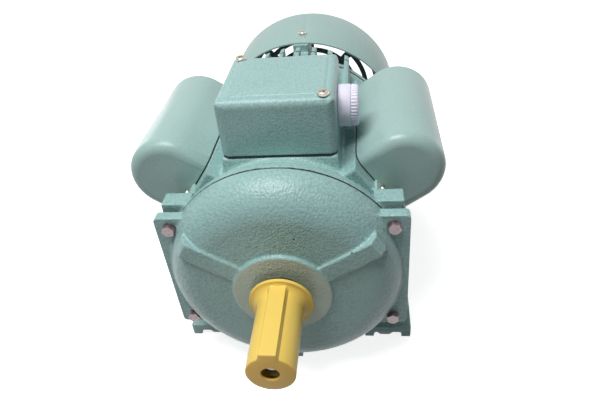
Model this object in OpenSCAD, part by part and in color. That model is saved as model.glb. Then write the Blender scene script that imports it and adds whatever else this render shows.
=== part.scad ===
// Foot-mounted single-phase induction motor with two capacitors, shaft extension toward -Y.
// The origin is the centre of the four foot holes, on the plane that the feet stand on, +Z up.

/* [Mounting] */
// Height of the shaft axis over the foot plane
axis_h = 90; // [89:1:93]
// Spacing of the foot holes across the motor
foot_a = 140; // [138:1:142]
// Spacing of the foot holes along the motor
foot_b = 100; // [98:1:104]
// Diameter of the foot holes
foot_hole_d = 10; // [9:0.5:11]
// Width over both feet
foot_span = 181; // [178:1:184]
// Thickness of a foot
foot_t = 11.5; // [10:0.5:13]
// Distance from the shaft shoulder to the front foot holes
nose_c = 56; // [54:1:58]

/* [Shaft] */
// Diameter of the shaft extension
shaft_d = 24; // [23:0.5:24]
// Length of the shaft extension
shaft_l = 50; // [48:1:54]
// Width of the key
key_w = 8; // [7:0.5:8]
// Height of the key
key_h = 7; // [6:0.5:7]
// Length of the key
key_l = 40; // [32:1:42]

/* [Bearings] */
// Bore of both ball bearings
bearing_d = 25; // [24.5:0.5:26]
// Outside diameter of both ball bearings
bearing_od = 52; // [51:1:53]
// Width of both ball bearings
bearing_w = 15; // [14:1:16]
// Balls in each bearing
ball_count = 9; // [7:1:9]

/* [Frame] */
// Length of the cast frame between its two end faces
frame_l = 170; // [168:1:180]
// Radius of the frame and shields where they meet
rim_r = 83; // [82:0.5:84]
// Outside radius of the frame between its ends
shell_r = 75; // [74:0.5:75]
// Bore radius of the frame, which holds the stator core
core_r = 65; // [63:0.5:66]
// Thickness of a cooling fin
fin_t = 4; // [3:0.5:5]
// Spacing of the cooling fins
fin_pitch = 14; // [13:0.5:15]

/* [Drive end] */
// Depth of the domed drive-end shield
bell_depth = 26; // [24:0.5:28]
// Radius of the bearing boss on the shield
boss_r = 34; // [33:0.5:36]
// Height of the bearing boss over the dome
boss_rise = 3.6; // [3.2:0.1:4]
// Distance from the shaft shoulder to the shield joint
nose_l = 35; // [35:0.5:37]
// Half the spacing of the shield bolts across the motor
bolt_x = 74.5; // [74.1:0.2:75.1]
// Half the spacing of the shield bolts up the motor
bolt_z = 42.6; // [42:0.2:43]

/* [Fan end] */
// Outside radius of the fan cowl
cowl_r = 88; // [87:0.5:88.5]
// Length of the fan cowl
cowl_l = 88; // [85:1:92]
// Air gap between the frame and the cowl
cowl_gap = 28; // [26:1:30]
// Radius of the cooling fan
fan_r = 58; // [54:1:64]

/* [Terminal box] */
// Width of the terminal box
box_w = 78; // [76:1:80]
// Length of the terminal box along the motor
box_l = 74; // [72:1:76]
// Height of the terminal box cover
box_h = 40; // [38:0.5:42]
// Rounding of the cover's edges
box_round = 5.5; // [4:0.5:6]

/* [Capacitors] */
// Slope of the capacitor covers from the horizontal
cap_tilt = 35.5; // [35:0.5:37]
// Distance of the capacitor pads from the shaft axis
cap_pad = 82.5; // [82:0.5:84]
// Half the width of a capacitor cover
cap_half = 28; // [27:0.5:28]
// Height of a capacitor cover's round centre over its pad
cap_rise = 19; // [18:0.5:20]
// Rounding of a capacitor cover's end edges
cap_round = 8; // [7:0.5:9]

/* [Hidden] */
$fn = 64;

// Working clearances: loose between fixed pieces, running between moving ones, fit in a seat
loose = 0.3;
running = 0.4;
fit = 0.03;
// Extra depth of a cut beyond the face it goes through
over = 1;

// Stations along the shaft axis
shoulder_y = -(foot_b / 2 + nose_c);
shaft_end_y = shoulder_y - shaft_l;
seam_y = shoulder_y + nose_l;
face_y = seam_y - bell_depth;
boss_y = face_y - boss_rise;
rear_y = seam_y + frame_l;
mid_y = (seam_y + rear_y) / 2;

// Screw threads are plain: M5 shield bolts, box screws and cowl screws, M4 cover screws
bolt_r = 2.5;
bolt_l = 25;
bolt_flats = 8;
bolt_head_h = 3.5;
washer_r = 4.6;
washer_t = 1.2;
screw_r = 2.5;
pan_r = 4.4;
pan_h = 2.4;
small_screw_r = 2;
small_pan_r = 3.6;
// Cross slot in a pan head, as shares of the head's radius
slot_long = 1.3;
slot_wide = 0.3;
// Room left under the tip of a screw
tip_gap = 1;

// Castings
wall = 6;
ear_x = 85;
ear_half = 50.5;
ear_t = 7.8;
ear_root = 50;
ear_round = 3.5;
ear_back = 1;
frame_ear_gap = 3;
frame_ear_in = 62;
frame_ear_out = 81.5;
frame_ear_half = 11.5;
collar_l = 15;
collar_band = 7;
collar_draft = 0.5;
register_r = 76;
register_l = 6;
spigot_l = 5;
spigot_t = 4;
spigot_in = register_r - spigot_t;
cone_rise = 1;
rib_w = 13;
rib_tilt = 31;
rib_end_r = 77;
rib_lip = 0.8;
rib_fall = 2.2;
rib_bevel = 4;
rib_bevel_drop = 6;
drain_lug_half = 5.2;
drain_lug_l = 13;
drain_lug_drop = 4.8;

// Feet and fins
foot_in = 54;
foot_w = foot_span / 2 - foot_in;
foot_leg = 7.5;
foot_recess = 5;
foot_over = 11;
foot_pad_r = 10;
web_in = 48;
web_t = 12;
web_top = 30;
side_fin_x = 87.5;
side_fin_top = 3;
side_fin_pitch = 16;
side_fin_count = 3;
top_fin_r = 91;
top_fin_pairs = 2;
top_fin_reach = 11;
keel_w = 6;
keel_z = 87.5;
fin_front_y = seam_y + collar_l;

// Bearing parts
pitch_r = (bearing_d + bearing_od) / 4;
ball_share = 0.3;
ball_r = ball_share * (bearing_od - bearing_d) / 2;
race_gap = 2.75;
groove_gap = 0.1;
groove_r = ball_r + groove_gap;
cage_w = 3;
cage_half = 1.8;
lip_t = 4;
preload_t = 1.5;
drive_bearing_y = boss_y + lip_t + preload_t;
rear_bearing_in = 12;
rear_bearing_y = rear_y + rear_bearing_in;
hub_r = bearing_od / 2 + wall;
hub_over = 1;

// Shaft steps
seat_r = bearing_d / 2;
body_r = 16;
tail_r = 10;
fan_seat_r = 9;
shaft_chamfer = 1;
key_depth = 4;
key_start = (shaft_l - key_l) / 2;
centre_r = 4.6;
centre_drill_r = 3.4;
centre_drill_l = 16;
seal_r = 17;
seal_lip = 1;

// Electrical steel and copper
end_room = 45;
core_l = frame_l - 2 * end_room;
bore_r = 40;
air_gap = 0.5;
slot_count = 24;
slot_in = 44;
slot_out = 57;
slot_in_w = 5.4;
slot_out_w = 8.4;
head_l = 28;
head_in = 45;
head_out = 59;
head_round = 5;
end_ring_in = 25;
end_ring_out = 38;
end_ring_l = 9;

// Centrifugal governor and starting switch behind the rotor
carrier_gap = 3;
carrier_y = mid_y + core_l / 2 + end_ring_l + carrier_gap;
carrier_t = 4;
carrier_hub_r = 21;
carrier_hub_l = 9;
pivot_x = 30;
pivot_r = 1.5;
cheek_t = 2;
weight_half = 4;
weight_in = 26.5;
weight_out = 35;
weight_gap = 1.5;
weight_l = 8;
finger_tip = 22.5;
finger_t = 2.4;
collar_travel = 2.4;
collar_r = 24;
collar_groove_r = 20;
collar_flange = 2.2;
collar_y = carrier_y + carrier_hub_l + collar_travel + running;
collar_groove_w = 4.6;
collar_tail = 2.4;
collar_w = 2 * collar_flange + collar_groove_w + collar_tail;
pivot_y = collar_y + collar_flange + collar_groove_w / 2;
arm_y = collar_y + collar_w + running;
arm_t = 2;
arm_w = 6;
arm_z = 21;
arm_x = 24;
arm_pin_r = 1.5;
board_t = 2.5;
board_r = 62;
board_in = body_r + 3;
board_y = rear_y - board_t;

// Fan end
cowl_t = 1.2;
cowl_y = rear_y + cowl_gap;
cowl_end = cowl_y + cowl_l;
cowl_round = 7.5;
lug_w = 14;
lug_in = 70;
lug_step = 79;
lug_lead = 2;
lug_reach = 30;
lug_end = cowl_y + lug_reach;
cowl_screw_in = 23;
cowl_screw_y = cowl_y + cowl_screw_in;
cowl_screw_l = 10;
// One screw on top and one on each side, none under the motor
cowl_screw_angles = [-90, 0, 90];
spoke_w = 8;
spoke_count = 8;
grille_rings = [17, 29, 41, 53, 65];
grille_slot = 7;
rear_face_y = rear_bearing_y + bearing_w + lip_t;
rear_rim_l = 10;
rear_cone = 4;
rear_wall_y = rear_y + rear_rim_l + rear_cone;
fan_in = 22;
fan_y = cowl_y + fan_in;
fan_w = 26;
fan_hub_r = 16;
blade_count = 8;
blade_t = 2.5;
clip_t = 1.5;
clip_r = 12;
clip_groove = 1;
tail_l = 6;
tail_y = fan_y + fan_w + clip_t + tail_l;

// Terminal box on its saddle
saddle_z = 75.8;
box_in = 23.3;
box_front = seam_y + box_in;
box_mid = box_front + box_l / 2;
saddle_flare = 5;
saddle_base = 40;
gasket_t = 1.5;
cover_z = axis_h + saddle_z + gasket_t;
cover_t = 2.2;
cover_post_r = 4.6;
cover_post_in = [7.4, 5.9];
cover_screw_places = [
    [box_w / 2 - cover_post_in[0], box_front + cover_post_in[1]],
    [-box_w / 2 + cover_post_in[0], box_front + box_l - cover_post_in[1]]
];
cover_screw_grip = 9;
panel_in = 7.5;
box_fin_gap = 1;
panel_rise = 0.8;
wire_r = 6;
wire_in = 11;
wire_y = box_front + wire_in;
board_w = 44;
board_l = 30;
board_h = 9;
board_shift = 6;
stud_r = 2;
stud_pitch = 14;
stud_h = 20;
stud_nut_r = 4.2;
stud_nut_h = 3.2;

// Cable gland in the right wall of the box
gland_shift = 2;
gland_y = box_mid - gland_shift;
gland_h = 17;
gland_z = cover_z + gland_h;
gland_r = 14.4;
gland_l = 9;
gland_thread_r = 10;
gland_tail = 11;
gland_bore_r = 6;
gland_cap_r = 13.6;
gland_cap_l = 5;
gland_wall = 2;
gland_rib_r = 0.55;
gland_rib_count = 40;
gland_seal_r = 9;
gland_nut_r = 14;
gland_nut_l = 5;
gland_fin_gap = 3;

// Capacitors under their covers
cap_t = 1.2;
cap_in = 26.2;
cap_l = frame_l - 2 * cap_in;
cap_y = seam_y + cap_in;
cap_gasket_t = 1;
cap_gasket_rim = 4;
cap_gasket_in = 1;
can_r = 21;
can_gap = 12;
can_x = cap_pad - cap_gasket_t + can_r + fit;
pad_root = 60;
tab_w = 13;
tab_l = 10;
strap_t = 1.5;
strap_w = 12;
cap_screw_grip = 16;

// The frame's bolt ears stop short of the tabs of the capacitor covers
frame_ear_l = cap_in - tab_l - frame_ear_gap - loose;

// Moulded sleeve that guards the shaft extension
sleeve_r = 15.3;
sleeve_sides = 10;
sleeve_over = 6.5;
sleeve_flange_r = 21.5;
sleeve_flange_t = 2.6;
sleeve_flare_r = 19.5;
sleeve_flare_l = 7;
sleeve_end_t = 3;
sleeve_hole_r = 5.6;
sleeve_key_t = 2.7;
sleeve_key_top = shaft_d / 2 - key_depth + key_h + loose + sleeve_key_t;
sleeve_key_half = 5.6;

cast_green = [0.49, 0.60, 0.57];
press_green = [0.62, 0.73, 0.70];
steel = [0.72, 0.72, 0.74];
zinc = [0.78, 0.77, 0.80];
copper = [0.72, 0.42, 0.22];
yellow = [0.91, 0.80, 0.37];
black = [0.08, 0.08, 0.09];
white = [0.91, 0.90, 0.95];
bakelite = [0.25, 0.14, 0.09];
tin = [0.80, 0.81, 0.83];
brass = [0.80, 0.66, 0.30];

// Turns a profile given as (radius, station along the axis)
module turned() {
    translate([0, 0, axis_h])
        rotate([-90, 0, 0])
            rotate_extrude()
                children();
}

// Extrudes an outline given as (x, height over the axis) between two stations
module slab(y0, y1) {
    translate([0, y1, axis_h])
        rotate([90, 0, 0])
            linear_extrude(y1 - y0)
                children();
}

// A round bar along the motor, off the axis by (x, z)
module bar(y0, y1, r, x = 0, z = 0) {
    translate([x, y0, axis_h + z])
        rotate([-90, 0, 0])
            cylinder(h = y1 - y0, r = r);
}

// A ring round the axis between two stations
module ring(y0, y1, r_in, r_out) {
    turned()
        translate([r_in, y0])
            square([r_out - r_in, y1 - y0]);
}

// A rectangle centred on the origin with round corners
module round_rect(w, l, r) {
    square([w - 2 * r, l], center = true);
    square([w, l - 2 * r], center = true);
    for (x = [-1, 1], y = [-1, 1])
        translate([x * (w / 2 - r), y * (l / 2 - r)])
            circle(r);
}

// Repeats a piece at the four shield bolts, drawn at the origin of each
module at_bolts() {
    for (x = [-bolt_x, bolt_x], z = [-bolt_z, bolt_z])
        translate([x, 0, z])
            children();
}

// Half of a frame drawn on the right and mirrored to the left
module both_sides() {
    children();
    mirror([1, 0, 0])
        children();
}

// Mirrors a drive-end piece to the rear end of the frame
module at_rear() {
    translate([0, 2 * mid_y, 0])
        mirror([0, 1, 0])
            children();
}

// A profile rectangle from the axis out to a radius, between two stations
module square_to(r, y0, y1) {
    translate([0, y0])
        square([r, y1 - y0]);
}

// Frame: finned cast body with feet, bolt ears, box saddle and capacitor pads

module frame_shell() {
    turned()
        polygon([
            [core_r - over, seam_y],
            [rim_r, seam_y],
            [rim_r - collar_draft, seam_y + collar_band],
            [shell_r, seam_y + collar_l],
            [shell_r, rear_y - collar_l],
            [rim_r - collar_draft, rear_y - collar_band],
            [rim_r, rear_y],
            [core_r - over, rear_y]
        ]);
}

module saddle() {
    intersection() {
        slab(box_front - saddle_flare, box_front + box_l + saddle_flare)
            polygon([
                [-box_w / 2 - saddle_flare, saddle_base],
                [box_w / 2 + saddle_flare, saddle_base],
                [box_w / 2, saddle_z],
                [-box_w / 2, saddle_z]
            ]);
        translate([-box_w, 0, axis_h])
            rotate([90, 0, 90])
                linear_extrude(2 * box_w)
                    polygon([
                        [box_front - saddle_flare, saddle_base],
                        [box_front + box_l + saddle_flare, saddle_base],
                        [box_front + box_l, saddle_z],
                        [box_front, saddle_z]
                    ]);
    }
}

module capacitor_pad() {
    slab(cap_y - tab_l, cap_y + cap_l + tab_l)
        rotate(cap_tilt)
            translate([pad_root, -cap_half])
                square([cap_pad - cap_gasket_t - pad_root, 2 * cap_half]);
}

module foot() {
    slab(-foot_b / 2 - foot_over, foot_b / 2 + foot_over)
        difference() {
            union() {
                translate([foot_in, -axis_h])
                    square([foot_w, foot_t]);
                translate([web_in, -axis_h + foot_t / 2])
                    square([web_t, axis_h - web_top - foot_t / 2]);
            }
            translate([foot_in + foot_leg, -axis_h - over])
                square([foot_w - 2 * foot_leg, foot_recess + over]);
        }
    for (y = [-foot_b / 2, foot_b / 2])
        translate([foot_a / 2, y, 0])
            cylinder(h = foot_recess + over, r = foot_pad_r);
}

module frame_ear(y0, y1) {
    for (z = [-bolt_z, bolt_z])
        slab(y0, y1)
            translate([frame_ear_in, z - frame_ear_half])
                square([frame_ear_out - frame_ear_in, 2 * frame_ear_half]);
}

module frame_fins() {
    for (i = [0 : side_fin_count - 1])
        slab(fin_front_y, rear_y - over)
            translate([core_r + over, side_fin_top - i * side_fin_pitch - fin_t / 2])
                square([side_fin_x - core_r - over, fin_t]);
}

// A fin on top of the frame, cut round to the cowl's size, that runs on over the rear shield's rim
module top_fin(x, y0) {
    slab(y0, rear_y + top_fin_reach)
        intersection() {
            translate([x - fin_t / 2, core_r - wall])
                square([fin_t, top_fin_r]);
            circle(top_fin_r);
        }
}

module top_fins() {
    difference() {
        union() {
            for (i = [-top_fin_pairs : top_fin_pairs])
                top_fin(i * fin_pitch, box_front + box_l + saddle_flare);
            for (s = [-1, 1])
                top_fin(s * (box_w / 2 + box_fin_gap + fin_t / 2), gland_y + gland_r + gland_fin_gap);
        }
        bar(rear_y, rear_y + top_fin_reach + over, rim_r + loose);
    }
}

module frame() {
    color(cast_green)
        difference() {
            union() {
                frame_shell();
                saddle();
                both_sides() {
                    capacitor_pad();
                    foot();
                    frame_fins();
                    frame_ear(seam_y + frame_ear_gap - ear_back, seam_y + frame_ear_gap + frame_ear_l);
                    frame_ear(rear_y - frame_ear_gap - frame_ear_l, rear_y - frame_ear_gap + ear_back);
                }
                top_fins();
                slab(seam_y + ear_back, rear_y - over)
                    translate([-keel_w / 2, -keel_z])
                        square([keel_w, keel_z - core_r]);
            }
            bar(seam_y - over, rear_y + over, core_r);
            bar(seam_y - over, seam_y + register_l, register_r);
            bar(rear_y - register_l, rear_y + over, register_r);
            at_bolts() {
                bar(seam_y - over, seam_y + frame_ear_gap + frame_ear_l + over, bolt_r + fit);
                bar(rear_y - frame_ear_gap - frame_ear_l - over, rear_y + over, bolt_r + fit);
            }
            for (x = [-foot_a / 2, foot_a / 2], y = [-foot_b / 2, foot_b / 2])
                translate([x, y, -over])
                    cylinder(h = foot_t + 2 * over, d = foot_hole_d);
            translate([0, wire_y, axis_h + core_r - wall])
                cylinder(h = saddle_z, r = wire_r);
            for (p = cover_screw_places)
                translate([p[0], p[1], axis_h + saddle_z - cover_screw_grip])
                    cylinder(h = cover_screw_grip + over, r = screw_r + fit);
            both_sides()
                capacitor_screw_places()
                    cylinder(h = cap_screw_grip, r = small_screw_r + fit, center = true);
        }
}

// Stator: slotted core with its winding heads

module slot_outline(gap) {
    polygon([
        [slot_in + gap, -slot_in_w / 2 + gap],
        [slot_out - gap, -slot_out_w / 2 + gap],
        [slot_out - gap, slot_out_w / 2 - gap],
        [slot_in + gap, slot_in_w / 2 - gap]
    ]);
}

module stator_core() {
    color(steel)
        slab(mid_y - core_l / 2, mid_y + core_l / 2)
            difference() {
                circle(core_r);
                circle(bore_r);
                for (i = [0 : slot_count - 1])
                    rotate(i * 360 / slot_count)
                        slot_outline(0);
            }
}

module winding_head() {
    turned()
        translate([(head_in + head_out) / 2, mid_y + core_l / 2 + head_l / 2 + loose])
            round_rect(head_out - head_in, head_l, head_round);
}

module stator_windings() {
    color(copper) {
        winding_head();
        at_rear()
            winding_head();
        slab(mid_y - core_l / 2 - head_l / 2, mid_y + core_l / 2 + head_l / 2)
            for (i = [0 : slot_count - 1])
                rotate(i * 360 / slot_count)
                    slot_outline(loose);
    }
}

// Drive-end shield: domed casting with bolt ears, two ribs and the bearing boss

module dome(inset) {
    arc_r = bell_depth - inset;
    centre = rim_r - bell_depth;
    intersection() {
        translate([centre, seam_y])
            circle(arc_r);
        translate([centre, seam_y - arc_r])
            square(arc_r);
    }
    polygon([
        [0, seam_y],
        [centre, seam_y],
        [centre, seam_y - arc_r],
        [boss_r, seam_y - arc_r - cone_rise],
        [0, seam_y - arc_r - cone_rise]
    ]);
}

module shield_ears(y0, y1) {
    slab(y0, y1)
        translate([(ear_x + ear_root) / 2, 0])
            round_rect(ear_x - ear_root, 2 * ear_half, ear_round);
}

module shield_rib() {
    translate([0, 0, axis_h])
        rotate([0, -rib_tilt, 0])
            translate([0, 0, -rib_w / 2])
                linear_extrude(rib_w)
                    polygon([
                        [boss_r - wall, seam_y - ear_back],
                        [boss_r - wall, boss_y + rib_lip],
                        [rib_end_r - rib_bevel, boss_y + rib_fall],
                        [rib_end_r, boss_y + rib_fall + rib_bevel_drop],
                        [rib_end_r, seam_y - ear_back]
                    ]);
}

module drive_end_shield() {
    color(cast_green)
        difference() {
            union() {
                turned() {
                    dome(0);
                    translate([0, boss_y])
                        square([boss_r, boss_rise]);
                }
                both_sides() {
                    shield_ears(seam_y - ear_back - ear_t, seam_y - ear_back);
                    shield_rib();
                }
                slab(seam_y - drain_lug_l, seam_y - ear_back)
                    translate([-drain_lug_half, -rim_r - drain_lug_drop])
                        square([2 * drain_lug_half, drain_lug_drop + wall]);
                ring(seam_y - over, seam_y + spigot_l, spigot_in, register_r - fit);
            }
            turned()
                difference() {
                    intersection() {
                        union() {
                            dome(wall);
                            square_to(spigot_in, seam_y - over, seam_y + spigot_l + over);
                        }
                        square_to(spigot_in, boss_y, seam_y + spigot_l + over);
                    }
                    square_to(hub_r, boss_y, drive_bearing_y + bearing_w + hub_over);
                }
            bar(boss_y - over, seam_y, seat_r + loose);
            bar(boss_y + lip_t, seam_y, bearing_od / 2);
            at_bolts()
                bar(seam_y - bell_depth, seam_y, bolt_r + loose);
            at_bolts()
                bar(seam_y - bell_depth - over, seam_y - ear_back - ear_t, washer_r + loose);
        }
}

// A hex bolt with its head toward -Y, head face on the given station
module shield_bolt(y) {
    translate([0, y - bolt_head_h, axis_h])
        rotate([-90, 0, 0])
            cylinder(h = bolt_head_h, d = bolt_flats / cos(30), $fn = 6);
    bar(y, y + bolt_l, bolt_r);
}

// A split spring washer in front of the given station
module spring_washer(y) {
    difference() {
        ring(y - washer_t, y, bolt_r + fit, washer_r);
        translate([0, y - washer_t / 2, axis_h + washer_r])
            cube([washer_t, 2 * washer_t, 2 * (washer_r - over)], center = true);
    }
}

module drive_shield_bolts() {
    color(zinc)
        at_bolts()
            shield_bolt(seam_y - ear_back - ear_t - washer_t);
}

module drive_shield_washers() {
    color(zinc)
        at_bolts()
            spring_washer(seam_y - ear_back - ear_t);
}

// Rear shield: shallow casting with the rear bearing and three bars that carry the cowl

module rear_profile() {
    polygon([
        [0, rear_y],
        [rim_r, rear_y],
        [rim_r, rear_y + rear_rim_l - wall / 2],
        [rim_r - wall / 2, rear_y + rear_rim_l],
        [hub_r, rear_wall_y],
        [hub_r, rear_face_y],
        [0, rear_face_y]
    ]);
}

module rear_hollow() {
    polygon([
        [hub_r, rear_y - register_l],
        [spigot_in, rear_y - register_l],
        [spigot_in, rear_y + rear_rim_l - wall],
        [hub_r, rear_wall_y - wall]
    ]);
}

// A bar along the motor with a raised head, which is rounded to the inside of the cowl
module cowl_bar(angle) {
    slab(rear_y + over, lug_end)
        rotate(-angle)
            translate([-lug_w / 2, lug_in])
                square([lug_w, lug_step - lug_in]);
    slab(cowl_y - lug_lead, lug_end)
        intersection() {
            circle(cowl_r - cowl_t - fit);
            rotate(-angle)
                translate([-lug_w / 2, lug_in])
                    square([lug_w, cowl_r - lug_in]);
        }
}

module cowl_screw_axis(angle) {
    translate([0, cowl_screw_y, axis_h])
        rotate([0, angle, 0])
            translate([0, 0, cowl_r])
                children();
}

module rear_end_shield() {
    color(cast_green)
        difference() {
            union() {
                turned()
                    rear_profile();
                at_rear()
                    both_sides()
                        shield_ears(seam_y - ear_back - ear_t, seam_y - ear_back);
                ring(rear_y - spigot_l, rear_y + over, spigot_in, register_r - fit);
                for (a = cowl_screw_angles)
                    cowl_bar(a);
            }
            turned()
                rear_hollow();
            bar(rear_y - over, rear_bearing_y + bearing_w, bearing_od / 2);
            bar(rear_y, rear_face_y + over, tail_r + loose);
            at_bolts()
                bar(rear_y - over, rear_y + bell_depth, bolt_r + loose);
            at_bolts()
                bar(rear_y + ear_back + ear_t, rear_y + bell_depth, washer_r + loose);
            for (a = cowl_screw_angles)
                cowl_screw_axis(a)
                    translate([0, 0, -cowl_screw_l - over])
                        cylinder(h = cowl_screw_l + 2 * over, r = screw_r + fit);
        }
}

module rear_shield_bolts() {
    color(zinc)
        at_rear()
            at_bolts()
                shield_bolt(seam_y - ear_back - ear_t - washer_t);
}

module rear_shield_washers() {
    color(zinc)
        at_rear()
            at_bolts()
                spring_washer(seam_y - ear_back - ear_t);
}

// Ball bearings

module bearing_outer(y) {
    turned()
        difference() {
            translate([pitch_r + race_gap, y])
                square([bearing_od / 2 - fit - pitch_r - race_gap, bearing_w]);
            translate([pitch_r, y + bearing_w / 2])
                circle(groove_r);
        }
}

module bearing_inner(y) {
    turned()
        difference() {
            translate([bearing_d / 2 + fit, y])
                square([pitch_r - race_gap - bearing_d / 2 - fit, bearing_w]);
            translate([pitch_r, y + bearing_w / 2])
                circle(groove_r);
        }
}

module bearing_balls(y) {
    ring(y + bearing_w / 2 - cage_w / 2, y + bearing_w / 2 + cage_w / 2,
        pitch_r - cage_half, pitch_r + cage_half);
    translate([0, y + bearing_w / 2, axis_h])
        for (i = [0 : ball_count - 1])
            rotate([0, i * 360 / ball_count, 0])
                translate([pitch_r, 0, 0])
                    sphere(ball_r);
}

module drive_bearing_outer() {
    color(steel) bearing_outer(drive_bearing_y);
}

module drive_bearing_inner() {
    color(steel) bearing_inner(drive_bearing_y);
}

module drive_bearing_balls() {
    color(steel) bearing_balls(drive_bearing_y);
}

module rear_bearing_outer() {
    color(steel) bearing_outer(rear_bearing_y);
}

module rear_bearing_inner() {
    color(steel) bearing_inner(rear_bearing_y);
}

module rear_bearing_balls() {
    color(steel) bearing_balls(rear_bearing_y);
}

module preload_washer() {
    color(steel)
        ring(boss_y + lip_t, boss_y + lip_t + preload_t, pitch_r + race_gap, bearing_od / 2 - loose);
}

// Rotor: stepped shaft with its key, seal, core and cast end rings

module key_outline(w) {
    square([w, key_l - w], center = true);
    for (s = [-1, 1])
        translate([0, s * (key_l - w) / 2])
            circle(w / 2);
}

module key_block(w, z0, z1) {
    translate([0, shoulder_y - key_start - key_l / 2, axis_h + z0])
        linear_extrude(z1 - z0)
            key_outline(w);
}

module shaft() {
    color(steel)
        difference() {
            turned()
                polygon([
                    [0, shaft_end_y],
                    [shaft_d / 2 - shaft_chamfer, shaft_end_y],
                    [shaft_d / 2, shaft_end_y + shaft_chamfer],
                    [shaft_d / 2, shoulder_y],
                    [seat_r, shoulder_y],
                    [seat_r, drive_bearing_y + bearing_w],
                    [body_r, drive_bearing_y + bearing_w],
                    [body_r, rear_bearing_y],
                    [seat_r, rear_bearing_y],
                    [seat_r, rear_bearing_y + bearing_w],
                    [tail_r, rear_bearing_y + bearing_w],
                    [tail_r, fan_y],
                    [fan_seat_r, fan_y],
                    [fan_seat_r, tail_y - shaft_chamfer],
                    [fan_seat_r - shaft_chamfer, tail_y],
                    [0, tail_y]
                ]);
            key_block(key_w, shaft_d / 2 - key_depth, shaft_d);
            bar(shaft_end_y - over, shaft_end_y + centre_drill_l, centre_drill_r);
            turned()
                polygon([
                    [0, shaft_end_y - over],
                    [centre_r + over, shaft_end_y - over],
                    [0, shaft_end_y + centre_r]
                ]);
            ring(fan_y + fan_w, fan_y + fan_w + clip_t, fan_seat_r - clip_groove, fan_seat_r + over);
        }
}

module shaft_key() {
    color(steel)
        key_block(key_w - 2 * fit, shaft_d / 2 - key_depth, shaft_d / 2 - key_depth + key_h);
}

module shaft_seal() {
    color(black)
        turned()
            polygon([
                [seat_r + fit, boss_y - running],
                [seal_r, boss_y - running],
                [seal_r - seal_lip, boss_y - running - seal_lip],
                [seal_r - 2 * seal_lip, shoulder_y + loose],
                [seat_r + fit, shoulder_y + loose]
            ]);
}

module rotor_core() {
    color(steel)
        ring(mid_y - core_l / 2, mid_y + core_l / 2, body_r + fit, bore_r - air_gap);
}

module rotor_end_rings() {
    color(tin) {
        ring(mid_y - core_l / 2 - end_ring_l, mid_y - core_l / 2, end_ring_in, end_ring_out);
        ring(mid_y + core_l / 2, mid_y + core_l / 2 + end_ring_l, end_ring_in, end_ring_out);
    }
}

// Governor: fly weights that draw a collar away from the starting switch at speed

module governor_carrier() {
    color(steel)
        difference() {
            union() {
                ring(carrier_y, carrier_y + carrier_hub_l, body_r + fit, carrier_hub_r);
                slab(carrier_y, carrier_y + carrier_t)
                    difference() {
                        square([2 * (pivot_x + 2 * pivot_r), 2 * (weight_half + running + cheek_t)],
                            center = true);
                        circle(body_r + over);
                    }
                both_sides()
                    for (s = [-1, 1])
                        translate([pivot_x - 2 * pivot_r, carrier_y,
                                axis_h + s * (weight_half + running + cheek_t / 2) - cheek_t / 2])
                            cube([4 * pivot_r, pivot_y - carrier_y + 2 * pivot_r, cheek_t]);
            }
            both_sides()
                pivot_axis()
                    cylinder(h = 2 * weight_out, r = pivot_r, center = true);
        }
}

module pivot_axis() {
    translate([pivot_x, pivot_y, axis_h])
        children();
}

module governor_pins() {
    color(steel)
        both_sides()
            pivot_axis()
                cylinder(h = 2 * (weight_half + running + cheek_t), r = pivot_r - fit, center = true);
}

module governor_weight() {
    front_y = carrier_y + carrier_t + weight_gap;
    difference() {
        translate([0, 0, axis_h - weight_half])
            linear_extrude(2 * weight_half)
                polygon([
                    [weight_in, front_y],
                    [weight_out, front_y],
                    [weight_out, front_y + weight_l],
                    [pivot_x + 2 * pivot_r, pivot_y],
                    [pivot_x + pivot_r, pivot_y + 2 * pivot_r],
                    [weight_in, pivot_y + 2 * pivot_r],
                    [weight_in, pivot_y + finger_t / 2],
                    [finger_tip, pivot_y + finger_t / 2],
                    [finger_tip, pivot_y - finger_t / 2],
                    [weight_in, pivot_y - finger_t / 2]
                ]);
        pivot_axis()
            cylinder(h = 2 * weight_out, r = pivot_r + fit, center = true);
    }
}

module right_governor_weight() {
    color(steel) governor_weight();
}

module left_governor_weight() {
    color(steel)
        mirror([1, 0, 0])
            governor_weight();
}

module governor_collar() {
    color(bakelite)
        turned()
            difference() {
                translate([body_r + fit, collar_y])
                    square([collar_r - body_r - fit, collar_w]);
                translate([collar_groove_r, collar_y + collar_flange])
                    square([collar_r, collar_groove_w]);
            }
}

// Starting switch: a board on the rear shield and the arm that rides on the collar

module switch_board() {
    color(bakelite)
        difference() {
            union() {
                ring(board_y, board_y + board_t, board_in, board_r);
                for (s = [-1, 1])
                    translate([-arm_x, (arm_y + board_y) / 2, axis_h + arm_z])
                        translate([0, 0, s * ((arm_w + arm_t) / 2 + running)])
                            cube([arm_w, board_y - arm_y + 2 * over, arm_t], center = true);
            }
            arm_axis()
                cylinder(h = 2 * arm_w + 4 * arm_t, r = arm_pin_r + fit, center = true);
        }
}

module arm_axis() {
    translate([-arm_x, arm_y + arm_t / 2, axis_h + arm_z])
        children();
}

module switch_arm() {
    color(copper)
        union() {
            translate([-arm_x, arm_y, axis_h + arm_z - arm_w / 2])
                cube([2 * arm_x, arm_t, arm_w]);
            arm_axis()
                cylinder(h = arm_w + 2 * running + 2 * arm_t, r = arm_pin_r, center = true);
        }
}

// Cooling fan with its clip, under the cowl

module cooling_fan() {
    color(black) {
        ring(fan_y, fan_y + fan_w, fan_seat_r + fit, fan_hub_r);
        for (i = [0 : blade_count - 1])
            translate([0, fan_y, axis_h])
                rotate([0, i * 360 / blade_count, 0])
                    translate([fan_hub_r - over, 0, -blade_t / 2])
                        cube([fan_r - fan_hub_r + over, fan_w, blade_t]);
    }
}

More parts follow.
